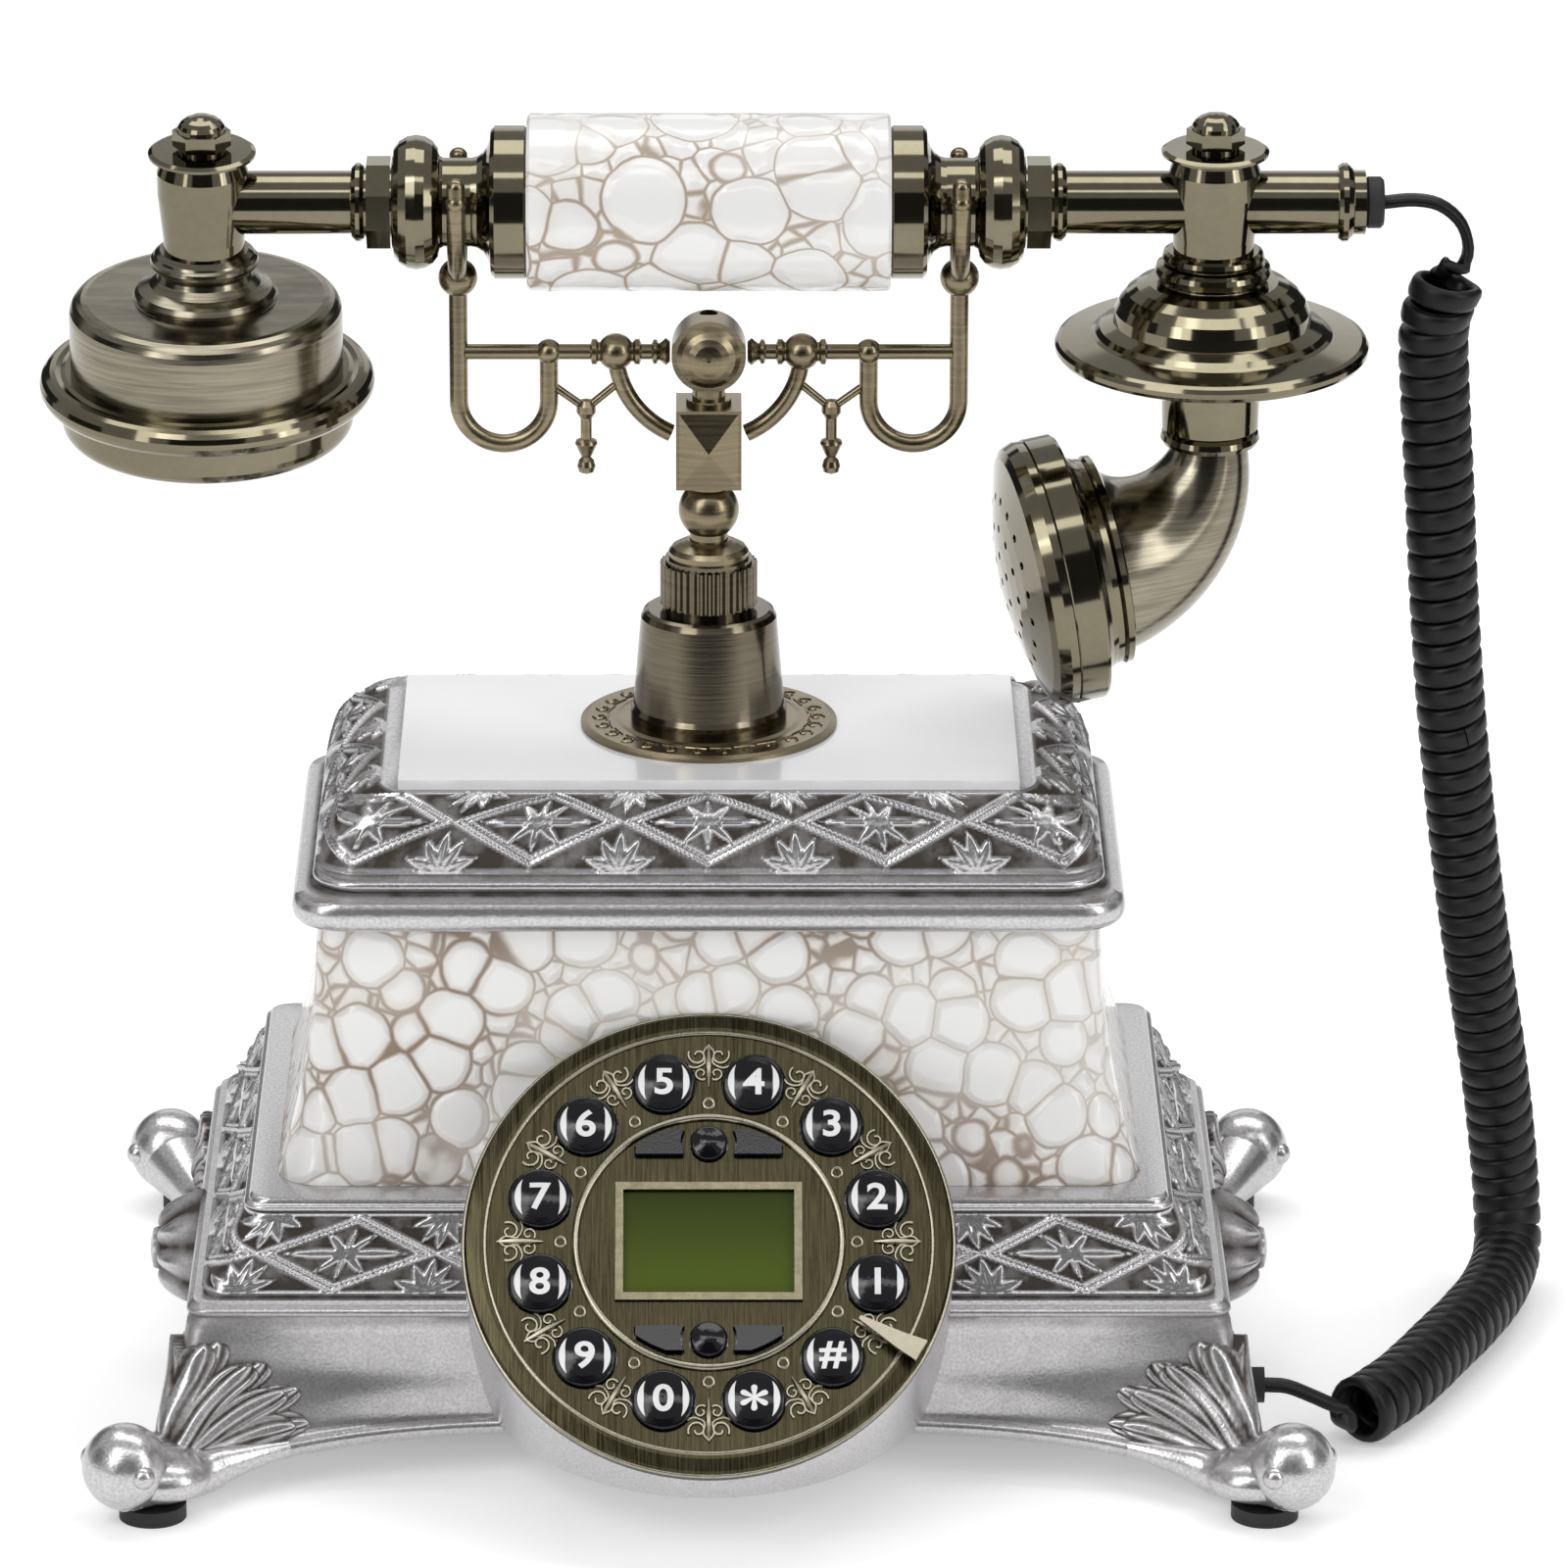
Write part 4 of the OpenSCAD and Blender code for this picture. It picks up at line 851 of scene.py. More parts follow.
@dataclass
class Studio:
    """The pale floor, the soft lights and the camera, in metres and degrees."""

    eye: Spot = (0.0, -1.8397, 0.753)
    pitch: float = 18.9
    lens: float = 228.15
    sensor: float = 36.0
    shift_x: float = 0.048
    world: float = 0.43
    floor_side: float = 8.0
    floor_glow: float = 0.28
    aim_z: float = 0.15

    def place_camera(self) -> None:
        """Put the camera in front of the telephone, a little above it."""
        lens = bpy.data.cameras.new("camera")
        lens.lens, lens.sensor_width, lens.shift_x = self.lens, self.sensor, self.shift_x
        lens.clip_end = 20
        holder = put_in_scene("camera", lens)
        holder.location = self.eye
        holder.rotation_euler = (math.radians(90 - self.pitch), 0, 0)
        bpy.context.scene.camera = holder

    def light(self) -> None:
        """Build the floor, the soft boxes, the dark flags, the bright cards and the world."""
        bpy.context.scene.view_settings.view_transform = "Standard"
        pale = Plain("floor", (0.97, 0.97, 0.97), 0.8, uneven=0.0, glow=self.floor_glow)
        self._card("floor", FLAT, (self.floor_side, self.floor_side), pale)
        for name, spot, size, power, aim in (
                ("key_light", (-1.0, -1.25, 1.5), (0.9, 1.3), 10.5, 0.25),
                ("fill_light", (1.35, -0.9, 1.0), (0.5, 1.5), 6.5, 0.2),
                ("top_light", (0.1, 0.5, 1.9), (2.2, 0.9), 16.5, 0.15)):
            self._soft_box(name, spot, size, power, aim)
        for name, spot, size, glow in (
                ("front_flag", (0.0, -2.4, 0.7), (2.3, 1.7), 0.0),
                ("low_flag", (0.0, -0.8, 0.08), (2.2, 0.2), 0.0),
                ("left_flag", (-2.3, -0.1, 0.75), (1.3, 1.3), 0.0),
                ("right_flag", (2.3, 0.1, 0.75), (1.3, 1.3), 0.0),
                ("back_left_flag", (-1.7, 2.1, 0.6), (1.9, 1.5), 0.0),
                ("back_right_flag", (1.7, 2.1, 0.6), (1.9, 1.5), 0.0),
                ("back_card", (0.0, 2.2, 0.95), (1.5, 0.9), 1.0),
                ("left_card", (-1.5, -1.6, 0.7), (0.35, 1.5), 3.2),
                ("right_card", (1.6, -1.3, 0.7), (0.22, 1.4), 2.4),
                ("high_card", (0.0, -1.3, 2.2), (2.4, 0.35), 3.0)):
            self._reflection(name, spot, size, glow)
        self._world()

    @staticmethod
    def _soft_box(name: str, spot: tuple, size: tuple, power: float, aim: float) -> None:
        """Add a rectangular soft light that faces the telephone.

        Args:
            name: Its name.
            spot: Its place.
            size: Its width and height.
            power: Its power in watts.
            aim: The height that it points at.
        """
        lamp = bpy.data.lights.new(name, "AREA")
        lamp.shape, lamp.size, lamp.size_y, lamp.energy = "RECTANGLE", *size, power
        holder = put_in_scene(name, lamp)
        holder.location = spot
        towards = Vector((0, 0, aim)) - Vector(spot)
        holder.rotation_euler = towards.to_track_quat("-Z", "Y").to_euler()

    @staticmethod
    def _card(name: str, place: Matrix, size: tuple[float, float], finish: Finish) -> Piece:
        """Add a flat card to the stage.

        Args:
            name: Its name, and its finish's.
            place: Its frame, in millimetres.
            size: Its width and height, in metres.
            finish: What it is made of.

        Returns:
            The card.
        """
        w, h = size[0] / MM / 2, size[1] / MM / 2
        card = make_piece(name, [(-w, -h, 0), (w, -h, 0), (w, h, 0), (-w, h, 0)],
                          [(0, 1, 2, 3)], place)
        card.data.materials.append(finish.build())
        return card

    def _reflection(self, name: str, spot: tuple, size: tuple, glow: float) -> None:
        """Add a dark flag or a bright card that only the polished metal sees.

        Args:
            name: Its name.
            spot: Its place.
            size: Its width and height.
            glow: How bright it is; 0 makes a dark flag.
        """
        away = (Vector(spot) - Vector((0, 0, self.aim_z))).to_track_quat("Z", "Y")
        place = Matrix.Translation(Vector(spot) / MM) @ away.to_matrix().to_4x4()
        card = self._card(name, place, size, Plain(name, (0.03, 0.03, 0.03), 0.9, glow=glow))
        card.visible_camera = card.visible_diffuse = card.visible_shadow = False

    def _world(self) -> None:
        """Light softly from all round, with white behind the telephone."""
        world = bpy.data.worlds.new("studio")
        world.use_nodes = True
        graph = Graph(world.node_tree)
        graph.tree.nodes.clear()
        path = graph.add("ShaderNodeLightPath").outputs
        seen = graph.math("MAXIMUM", path["Is Camera Ray"], path["Is Transmission Ray"])
        soft, white = (graph.add("ShaderNodeBackground", Color=(1, 1, 1, 1),
                                 Strength=strength).outputs[0] for strength in (self.world, 1.0))
        both = graph.add("ShaderNodeMixShader", Fac=seen, i1=soft, i2=white)
        graph.add("ShaderNodeOutputWorld", Surface=both.outputs[0])
        bpy.context.scene.world = world


# ---- Curly cord ----


@dataclass
class CurlyCord:
    """The flat curly cord, in two lengths that meet half way up the coil."""

    width: float = 4.6
    thick: float = 2.3
    roundness: float = 0.7
    coil_r: float = 5.75
    pitch: float = 4.75
    ramp_len: float = 5.0
    meet_z: float = 128.0
    fine_step: float = 0.1
    step: float = 1.55
    corners: int = 10
    top_lead: Points = (
        (130.1, 0, 238.5), (136, 0, 239), (141, 0, 238), (145, 0, 234.6), (146.6, -0.4, 230),
        (145.8, -1.4, 226.6))
    coil: Points = (
        (142.5, -3.2, 222.5), (140.4, -1.2, 214), (141, 1, 200), (142.5, 3, 180),
        (144, 5.5, 158), (146, 9, 136), (148.5, 13, 114), (151.5, 18, 92), (155, 24, 70),
        (158.5, 30, 49), (161, 35.5, 31), (162.3, 36.5, 18), (162.3, 32, 9.6),
        (160.6, 24, 7.3), (157, 11, 7.2), (151.5, -3, 7.2), (146, -15, 7.2),
        (141, -26, 7.2), (136, -36, 7.2), (131, -44, 7.2), (127.5, -49, 7.3))
    base_lead: Points = (
        (122.5, -51.5, 9.2), (118, -51, 11.0), (113, -50.3, 12.8), (108.5, -50, 13))

    def build(self) -> None:
        path, wide = self._route()
        half = int(np.argmin(np.abs(path[:len(path) * 3 // 4, 2] - self.meet_z)))
        upper = self._ribbon("cord_upper", path[:half + 1], wide[:half + 1])
        lower = self._ribbon("cord_lower", path[half:], wide[half:])
        settle(upper, None, Look.CORD, Slot.CORD, "cord_lead_top")
        settle(lower, None, Look.CORD, Slot.CORD, "cord_coil", "cord_lead_base")
        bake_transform(upper)
        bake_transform(lower)

    @staticmethod
    def _at(x: float, z: float) -> Spot:
        """Return a point beside the stand, in metres."""
        return x * MM, PLACES.post_y * MM, z * MM

    def _route(self) -> tuple[Array, Array]:
        """Wind the cord along its centre line.

        Returns:
            The cord's path, and the direction of its width along it.
        """
        knots = np.array([*self.top_lead, *self.coil, *self.base_lead], dtype=float)
        knots[:, 1] += PLACES.post_y
        line = smooth_line(knots, 0.25)
        line = even_line(line, int(walk(line)[-1] / self.fine_step))
        place = np.arange(len(line)) * self.fine_step
        first, last = (place[np.argmin(np.linalg.norm(line - knots[k], axis=1))]
                       for k in (len(self.top_lead), len(self.top_lead) + len(self.coil) - 1))
        into = np.clip((place - first + self.ramp_len) / self.ramp_len, 0, 1)
        out = np.clip((last + self.ramp_len - place) / self.ramp_len, 0, 1)
        share = np.minimum(into, out)
        share = (share * share * (3 - 2 * share))[:, None]
        turn = np.cumsum(self.fine_step * TURN / self.pitch * (share > 0), axis=0)
        along = unit_rows(np.gradient(line, axis=0))
        side, rise = steady_frames(along, (0, 1, 0))
        helix = line + self.coil_r * share * (np.cos(turn) * side + np.sin(turn) * rise)
        wide = share * along + (1 - share) * np.array([0.0, 1.0, 0.0])
        places = walk(helix)
        marks = np.linspace(0, places[-1], int(places[-1] / self.step))
        return sample(helix, places, marks), sample(wide, places, marks)

    def _ribbon(self, name: str, path: Array, wide: Array) -> Piece:
        """Sweep the cord's rounded flat section along a path.

        Args:
            name: The piece's name.
            path: The path's points.
            wide: The direction of its width at each point.

        Returns:
            The piece.
        """
        along = unit_rows(np.gradient(path, axis=0))
        flat = unit_rows(wide - along * np.sum(wide * along, axis=1)[:, None])
        thin = np.cross(along, flat)
        angles = np.linspace(0, TURN, self.corners, endpoint=False)
        across, up = (np.sign(turn) * np.abs(turn)**self.roundness * size / 2
                      for turn, size in ((np.cos(angles), self.width),
                                         (np.sin(angles), self.thick)))
        rings = path[:, None] + across[:, None] * flat[:, None] + up[:, None] * thin[:, None]
        return make_piece(name, rings, capped_faces(len(path), self.corners), crease=60,
                          weld=True)


# ---- Relief carving ----


def leaf_axes(x: Array, y: Array, root: tuple[float, float], heading: float,
              bend: float, length: float) -> tuple[Array, Array, Array]:
    """Measure places along and across a bent leaf.

    Args:
        x: Places across, in millimetres.
        y: Places up, in millimetres.
        root: Where the leaf starts.
        heading: Direction of its spine, in degrees from +X.
        bend: How far its tip bends aside, in millimetres.
        length: Length of the leaf.

    Returns:
        The place along it, the share of its length, and the place across it.
    """
    c, s = math.cos(math.radians(heading)), math.sin(math.radians(heading))
    dx, dy = x - root[0], y - root[1]
    along = dx * c + dy * s
    share = np.clip(along / length, 0, 1)
    return along, share, -dx * s + dy * c - bend * share * share


def leaf(x: Array, y: Array, root: tuple[float, float], heading: float, length: float,
         half: float) -> Array:
    """Height of a pointed leaf with a groove down its spine.

    Args:
        x: Places across, in millimetres.
        y: Places up, in millimetres.
        root: Where the leaf starts.
        heading: Direction of its spine, in degrees from +X.
        length: Length of the leaf.
        half: Its greatest half width.

    Returns:
        The heights, from 0 outside to 1.
    """
    along, share, across = leaf_axes(x, y, root, heading, 0.0, length)
    width = half * np.sin(np.pi * np.clip(share, 0.02, 0.999) ** 0.75) ** 0.8
    dome = np.sqrt(np.clip(1 - (across / np.maximum(width, 1e-3)) ** 2, 0, 1))
    dome = dome * (1 - 0.28 * np.exp(-(across / (0.22 * half)) ** 2))
    return np.where((along > 0) & (along < length), dome, 0.0)


def lobe(x: Array, y: Array, root: tuple[float, float], heading: float, length: float,
         half: float, bend: float) -> Array:
    """Height of a lobe that widens to a round tip, with two grooves along it.

    Args:
        x: Places across, in millimetres.
        y: Places up, in millimetres.
        root: Where the lobe starts.
        heading: Direction of its spine, in degrees from +X.
        length: Length of the lobe.
        half: Its greatest half width.
        bend: How far its tip bends aside, in millimetres.

    Returns:
        The heights, from 0 outside to 1.
    """
    along, share, across = leaf_axes(x, y, root, heading, bend, length)
    tip = np.clip((along - length + 0.95 * half) / (0.95 * half), 0, 1)
    width = half * (0.34 + 0.66 * share**0.8) * np.sqrt(np.clip(1 - tip**2, 1e-6, 1))
    across = across / np.maximum(width, 1e-3)
    dome = np.clip(1 - across**2, 0, 1) ** 0.4 * (0.6 + 0.4 * share)
    groove = np.exp(-((np.abs(across) - 0.45) / 0.13) ** 2)
    return np.where((along > 0) & (along < length), dome * (1 - 0.35 * groove), 0.0)


def ridge(distance: Array, half: float) -> Array:
    """Height of a rounded ridge that follows where distance is zero."""
    return np.clip(1 - (distance / half) ** 2, 0, 1) ** 1.3


@dataclass(frozen=True)
class StarFrieze:
    """A run of lozenges with eight-leaved stars, and fans of leaves between them."""

    pitch: float
    tall: float
    lozenge_half: float
    lozenge_tall: float
    rim: float = 0.75
    wire: float = 0.6
    star_gap: float = 1.5

    def height(self, u: Array, v: Array) -> Array:
        """Work out the carving's height.

        Args:
            u: Places along the frieze, in millimetres.
            v: Places up it.

        Returns:
            The heights, from 0 to 1.
        """
        x = (u + self.pitch / 2) % self.pitch - self.pitch / 2
        y = v - self.tall / 2
        a, b = self.lozenge_half, self.lozenge_tall / 2
        edge = (np.abs(x) / a + np.abs(y) / b - 1) * a * b / math.hypot(a, b)
        out = np.maximum(ridge(edge, self.rim), 0.8 * ridge(edge + 1.0, self.wire))
        star = np.zeros_like(out)
        for heading in (0, 90, 180, 270):
            length, half = (0.72 * a, 1.05) if heading % 180 == 0 else (0.74 * b, 0.95)
            star = np.maximum(star, leaf(x, y, (0, 0), heading, length, half))
        for heading in (38, 142, 218, 322):
            star = np.maximum(star, leaf(x, y, (0, 0), heading, 0.4 * a, 0.95))
        out = np.maximum(out, np.where(edge < -self.star_gap, star, 0) * 0.95)
        foot = 0.4 - self.tall / 2
        for side in (-1, 1):
            for lean, length, half in ((0, 6.8, 1.5), (34, 6.6, 1.3), (70, 7.2, 1.2)):
                for heading in {90 - lean, 90 + lean}:
                    for middle in (-self.pitch / 2, self.pitch / 2):
                        fan = leaf(x, side * y, (middle, foot), heading, length, half)
                        out = np.maximum(out, np.where(edge > self.wire, fan, 0))
        return np.maximum(out, 0.9 * ridge(np.abs(y) - self.tall / 2 + 0.3, self.wire))


# ---- Lofts with rounded corners ----


@dataclass(frozen=True)
class Ring:
    """One level of a loft: height, half sizes, corner radius, leg flare and arch."""

    z: float
    hx: float
    hy: float
    r: float
    fx: float = 0.0
    fy: float = 0.0
    arch: float = 0.0


@dataclass(frozen=True)
class Outline:
    """A rounded rectangle that every ring of a loft walks round in the same steps."""

    along_x: int
    along_y: int
    corner: int
    power: float = 4.0

    def walk(self, k: Ring) -> Array:
        """Walk round one ring, counter-clockwise from the right-hand side.

        Args:
            k: The ring.

        Returns:
            Its points.
        """
        parts = []
        for q in range(4):
            cx = (1 if q in (0, 3) else -1) * (k.hx - k.r)
            cy = (1 if q < 2 else -1) * (k.hy - k.r)
            a = np.radians(90 * q + np.linspace(0, 90, self.corner + 1))
            parts.append(np.stack([cx + k.r * np.cos(a), cy + k.r * np.sin(a)], 1))
            count = self.along_x if q % 2 == 0 else self.along_y
            t = np.linspace(0, 1, count + 2)[1:-1, None]
            span = np.array([-2 * cx, 0.0]) if q % 2 == 0 else np.array([0.0, -2 * cy])
            parts.append(parts[-1][-1] + span * t)
        flat = np.vstack(parts)
        w = np.abs(flat[:, 0] / k.hx * flat[:, 1] / k.hy) ** self.power
        x = flat[:, 0] + np.sign(flat[:, 0]) * k.fx * w
        y = flat[:, 1] + np.sign(flat[:, 1]) * k.fy * w
        return np.stack([x, y, k.z + k.arch * (1 - w)], 1)

    def skin(self, rings: Sequence[Ring]) -> Array:
        """Return all the rings' points, one row for each ring."""
        return np.stack([self.walk(k) for k in rings])

    def corner_columns(self) -> list[int]:
        """Return the columns at the middles of the four corners."""
        runs = [self.corner // 2, *(n + self.corner + 1 for n in (self.along_x, self.along_y))]
        return np.cumsum([*runs, runs[1]]).tolist()


def between(rings: Sequence[Ring], steps: int) -> list[Ring]:
    """Return the rings with smooth ones added between them."""
    rows = smooth_rows(np.array([astuple(k) for k in rings], dtype=float), lambda a, b: steps)
    return [Ring(*row) for row in rows]


def bulge(z: float, tall: float, out: float, deep: float, degrees: Sequence[float],
          power: float = 1.0) -> list[tuple[float, float]]:
    """Follow a round moulding from its foot to its top.

    Args:
        z: Height of its middle, in millimetres.
        tall: Its half height.
        out: Place of its foot, outwards.
        deep: How far it stands out.
        degrees: The stops on its round, from 0 at its foot to 180.
        power: Below 1, its side is flatter than a circle's.

    Returns:
        The height and the place outwards of each stop.
    """
    turns = np.radians(degrees)
    return [(z - tall * math.cos(a), out + deep * math.sin(a) ** power) for a in turns]


def even_rows(grid: Array, middle: int, step: float, along: Array) -> tuple[Array, Array]:
    """Space each row of a grid evenly.

    Args:
        grid: Rows of points or directions.
        middle: The column that every row is measured from.
        step: The new spacing, in millimetres.
        along: The points that give the spacing.

    Returns:
        The new grid, and its columns' places from the middle.
    """
    walks = np.stack([walk(row) for row in along])
    walks = walks - walks[:, middle:middle + 1]
    reach = int(min(walks[:, -1].min(), -walks[:, 0].max()) / step)
    places = np.arange(-reach, reach + 1) * step
    return np.stack([sample(row, walked, places) for walked, row in zip(walks, grid)]), places


def skin_normals(skin: Array) -> Array:
    """Return the outward direction at each point of a wrapped skin."""
    on = np.roll(skin, -1, axis=1) - np.roll(skin, 1, axis=1)
    return unit_rows(np.cross(on, np.gradient(skin, axis=0)))


def frieze_places(skin: Array) -> Array:
    """Measure along a skin's middle row.

    Args:
        skin: Rows of ring points.

    Returns:
        How far each column lies from the middle of the front.
    """
    row = skin[len(skin) // 2]
    front = int(np.argmin(np.hypot(row[:, 0], row[:, 1] - row[:, 1].min())))
    return walk(row) - walk(row)[front]


def closed_skin(name: str, skin: Array, wash_and_shade: Array | None = None,
                place: Matrix = PLACES.base(), crease: float = 40.0) -> Piece:
    """Close a skin at both ends with flat caps and make it a piece.

    Args:
        name: The piece's name.
        skin: Rows of ring points, lowest first.
        wash_and_shade: How much brown stain and painted shade each point carries.
        place: Its frame.
        crease: Edges sharper than this stay sharp.

    Returns:
        The piece.
    """
    made = make_piece(name, skin, capped_faces(*skin.shape[:2]), place, crease)
    if wash_and_shade is not None:
        paint_wash_and_shade(made, wash_and_shade)
    return made


def paint_wash_and_shade(made: Piece, wash_and_shade: Array) -> None:
    """Store how much brown stain and painted shade each point of a piece carries."""
    layer = made.data.attributes.new("wash_and_shade", "FLOAT", "POINT")
    layer.data.foreach_set("value", np.asarray(wash_and_shade, dtype=np.float32).ravel())


def band(z: Array, low: float, rise: float, high: float, fall: float) -> Array:
    """Return 1 between two heights, fading to 0 over a rise above low and a fall below high."""
    return np.clip((z - low) / rise, 0, 1) * np.clip((high - z) / fall, 0, 1)


# ---- Base ----


@dataclass
class Base:
    """The cast base: skirt, carved frieze, ledge, dial drum, feet, leaves and rosettes."""

    skirt: tuple[float, float] = (99.5, 61.5)
    ledge: tuple[float, float] = (89.3, 55.5)
    corner_r: float = 4.0
    flare: tuple[float, float] = (8.0, 20.0)
    arch: float = 6.0
    frieze_z: float = 36.2
    frieze_rise: float = 16.6
    frieze_tall: float = 17.4
    frieze_relief: float = 1.15
    frieze_wall: float = 4.1
    socket: tuple = ((-47.1, -32.9), (49.0, 70.0), (13.9, 26.1))
    drum_r: float = 47.1
    drum_y: float = -39.0
    drum_z: float = 10.0
    foot: tuple[float, float] = (112.0, 85.0)
    foot_lift: float = 3.0
    ball_r: float = 8.5
    ball_lean: float = 38.0
    ball_tilt: float = 78.0
    ball_squash: tuple = (1.0, 1.0, 0.94, 1.0)
    sole_squash: tuple = (1.15, 1.0, 0.58, 1.0)
    eye_r: float = 2.3
    eye_out: float = 7.6
    leaf_step: float = 0.44
    leaf_reach: int = 56
    leaf_relief: float = 2.2
    leaf_back: float = 3.0
    rosette_z: float = 23.0
    rosette_r: float = 11.4
    rosette_deep: float = 12.3
    plain_steps: Outline = Outline(150, 90, 8)
    frieze_steps: Outline = Outline(560, 330, 22)
    leaf_steps: Outline = Outline(300, 180, 26)
    carving: StarFrieze = StarFrieze(35.0, 15.6, 17.3, 14.4)

    def build(self) -> None:
        """Build the base's pieces."""
        settle(self._skirt(), Body.BASE, Look.SILVER, Slot.SILVER, "base_casting")
        for made in (self._frieze(), self._ledge(), self._drum(), self._feet(), self._leaves(),
                     self._end_rosettes()):
            settle(made, Body.BASE, Look.SILVER, Slot.SILVER)

    def _ring(self, z: float, out: float, share: float = 0.0, rise: float = 0.0) -> Ring:
        """Return a ring of the skirt, with its share of the legs' flare."""
        return Ring(z, self.skirt[0] + out, self.skirt[1] + out, self.corner_r,
                    self.flare[0] * share, self.flare[1] * share, rise)

    def _slope(self, z: float, out: float, share: float = 1.0) -> Ring:
        """Return a ring some share of the way from the skirt in to the ledge."""
        hx, hy = (a * (1 - share) + b * share + out for a, b in zip(self.skirt, self.ledge))
        return Ring(z, hx, hy, self.corner_r)

    def _skirt_rings(self) -> list[Ring]:
        """Lay out the levels of the concave skirt, from under its lip to the frieze.

        Returns:
            The rings, lowest first.
        """
        low = [Ring(10, 83.5, 48.5, 6), self._ring(3.5, -2, 1, 5.5),
               self._ring(3, 0.6, 1, self.arch)]
        turns = range(20, 150, 18)
        lip = [self._ring(z, out, 1 - 0.0012 * turn, self.arch)
               for turn, (z, out) in zip(turns, bulge(5.1, 1.5, 0.9, 1.6, turns))]
        face = [Ring(z, self.skirt[0] + out, self.skirt[1] + out, self.corner_r, fx, fy, arch)
                for z, out, fx, fy, arch in (
                    (7.6, 0.6, 7.2, 17.4, 5.1), (9.6, 0.4, 6.8, 15.2, 4.5),
                    (15.25, 0.3, 6.0, 11.5, 3.0), (21.5, 0.0, 4.2, 6.6, 1.0),
                    (28.5, 0.0, 2.8, 3.6, 0.0), (32.0, 0.3, 1.6, 1.6, 0.0))]
        bead = bulge(34.1, 0.95, 0.5, 1.1, range(20, 170, 25))
        top = [self._ring(z, out) for z, out in (*bead, (35.6, 0.3), (36.4, 0.2))]
        return low + lip + between(face, 6) + top

    def _skirt(self) -> Piece:
        """Make the skirt, with an opening for the line socket at the back.

        Returns:
            The piece.
        """
        skin = self.plain_steps.skin(self._skirt_rings())
        x, y, z = np.moveaxis(skin, 2, 0)
        corner = np.clip(np.abs(x / 105) ** 8 * np.abs(y / 74) ** 3, 0, 1)
        # Brown stain and painted shade beside the corner leaves, painted shade under the frieze's
        # bead, and a light painted shade over the skirt's face.
        wash_and_shade = 0.6 * corner + 0.6 * band(z, 30.5, 3, 35, 3) + 0.16 * band(z, 7, 6, 33, 4)
        made = closed_skin("base_skirt", skin, np.minimum(wash_and_shade, 1))
        (left, right), (front, back), heights = self.socket
        hole = closed_skin("socket_cut", np.array([
            [(left, front, h), (right, front, h), (right, back, h), (left, back, h)]
            for h in heights]))
        cut = made.modifiers.new("socket", "BOOLEAN")
        cut.operation, cut.object, cut.solver = "DIFFERENCE", hole, "EXACT"
        made.data = plain_mesh(made)
        made.modifiers.clear()
        bpy.data.objects.remove(hole)
        shade(made.data)
        return made

    def _frieze(self) -> Piece:
        """Make the carved band between the skirt's bead and the ledge.

        Returns:
            The piece.
        """
        shares = np.linspace(0, 1, 50)
        rings = [self._slope(self.frieze_z + self.frieze_rise * s, -0.9, 0.05 + 0.93 * s)
                 for s in shares]
        skin = self.frieze_steps.skin(rings)
        u, v = np.meshgrid(frieze_places(skin), shares * self.frieze_tall - 0.9)
        carved = self.carving.height(u, v)
        low, high = (self.frieze_steps.skin([Ring(
            k.z, k.hx - self.frieze_wall, k.hy - self.frieze_wall, k.r)])
            for k in (rings[0], rings[-1]))
        skin = skin + skin_normals(skin) * (self.frieze_relief * carved[..., None] - 0.1)
        skin = np.concatenate([low, skin, high])
        made = make_piece("base_frieze", skin, grid_faces(*skin.shape[:2], loop=True),
                          PLACES.base(), 60)
        # Brown stain and painted shade in the carving's hollows.
        paint_wash_and_shade(made, np.pad(1 - np.clip(1.7 * carved, 0, 1), ((1, 1), (0, 0)), mode="edge"))
        return made

    def _ledge(self) -> Piece:
        """Make the plain ledge round the body, with its moulded edge.

        Returns:
            The piece.
        """
        edge = bulge(53.2, 0.7, -0.2, 0.9, range(20, 150, 22))
        rings = [self._slope(51.6, -1.6, 0.96)]
        rings += [self._slope(z, out) for z, out in (
            (52.4, -0.2), *edge, (54.0, -0.2), (54.4, -0.3), (54.85, -0.6), (55, -1.2))]
        skin = Outline(60, 40, 8).skin(rings)
        # Brown stain and painted shade under the ledge's moulded edge.
        return closed_skin("base_ledge", skin, np.clip(52.8 - skin[..., 2], 0, 1))

    def _drum(self) -> Piece:
        """Make the drum that carries the dial, cut off at the table and at the body.

        Returns:
            The piece.
        """
        r = self.drum_r
        outline = [(0, -3), (r - 0.7, -3), (r - 0.2, -3.2), (r, -3.8), (r, -70), (0, -70)]
        made = lathe("dial_drum", outline, PLACES.dial(), 128)
        table = ((0, 0, self.drum_z * MM), (0, 0, -1))
        body = ((0, (PLACES.base_y + self.drum_y) * MM, 0), (0, 1, 0))
        with reworked(made.data) as work:
            for spot, way in (table, body):
                cut = bmesh.ops.bisect_plane(work, geom=[*work.verts, *work.edges, *work.faces],
                                             plane_co=spot, plane_no=way, clear_outer=True)
                rim = [e for e in cut["geom_cut"] if isinstance(e, bmesh.types.BMEdge)]
                bmesh.ops.contextual_create(work, geom=rim)
            bmesh.ops.recalc_face_normals(work, faces=work.faces)
        shade(made.data)
        return made

    def _feet(self) -> Piece:
        """Return the four scrolled knobs that end the legs, with the rolls that reach them."""
        lip = self.plain_steps.walk(self._ring(5.2, 0.9, 0.93, self.arch))
        return join_pieces("feet", [part for sx in (-1, 1) for sy in (-1, 1)
                                    for part in self._foot(lip, sx, sy)])

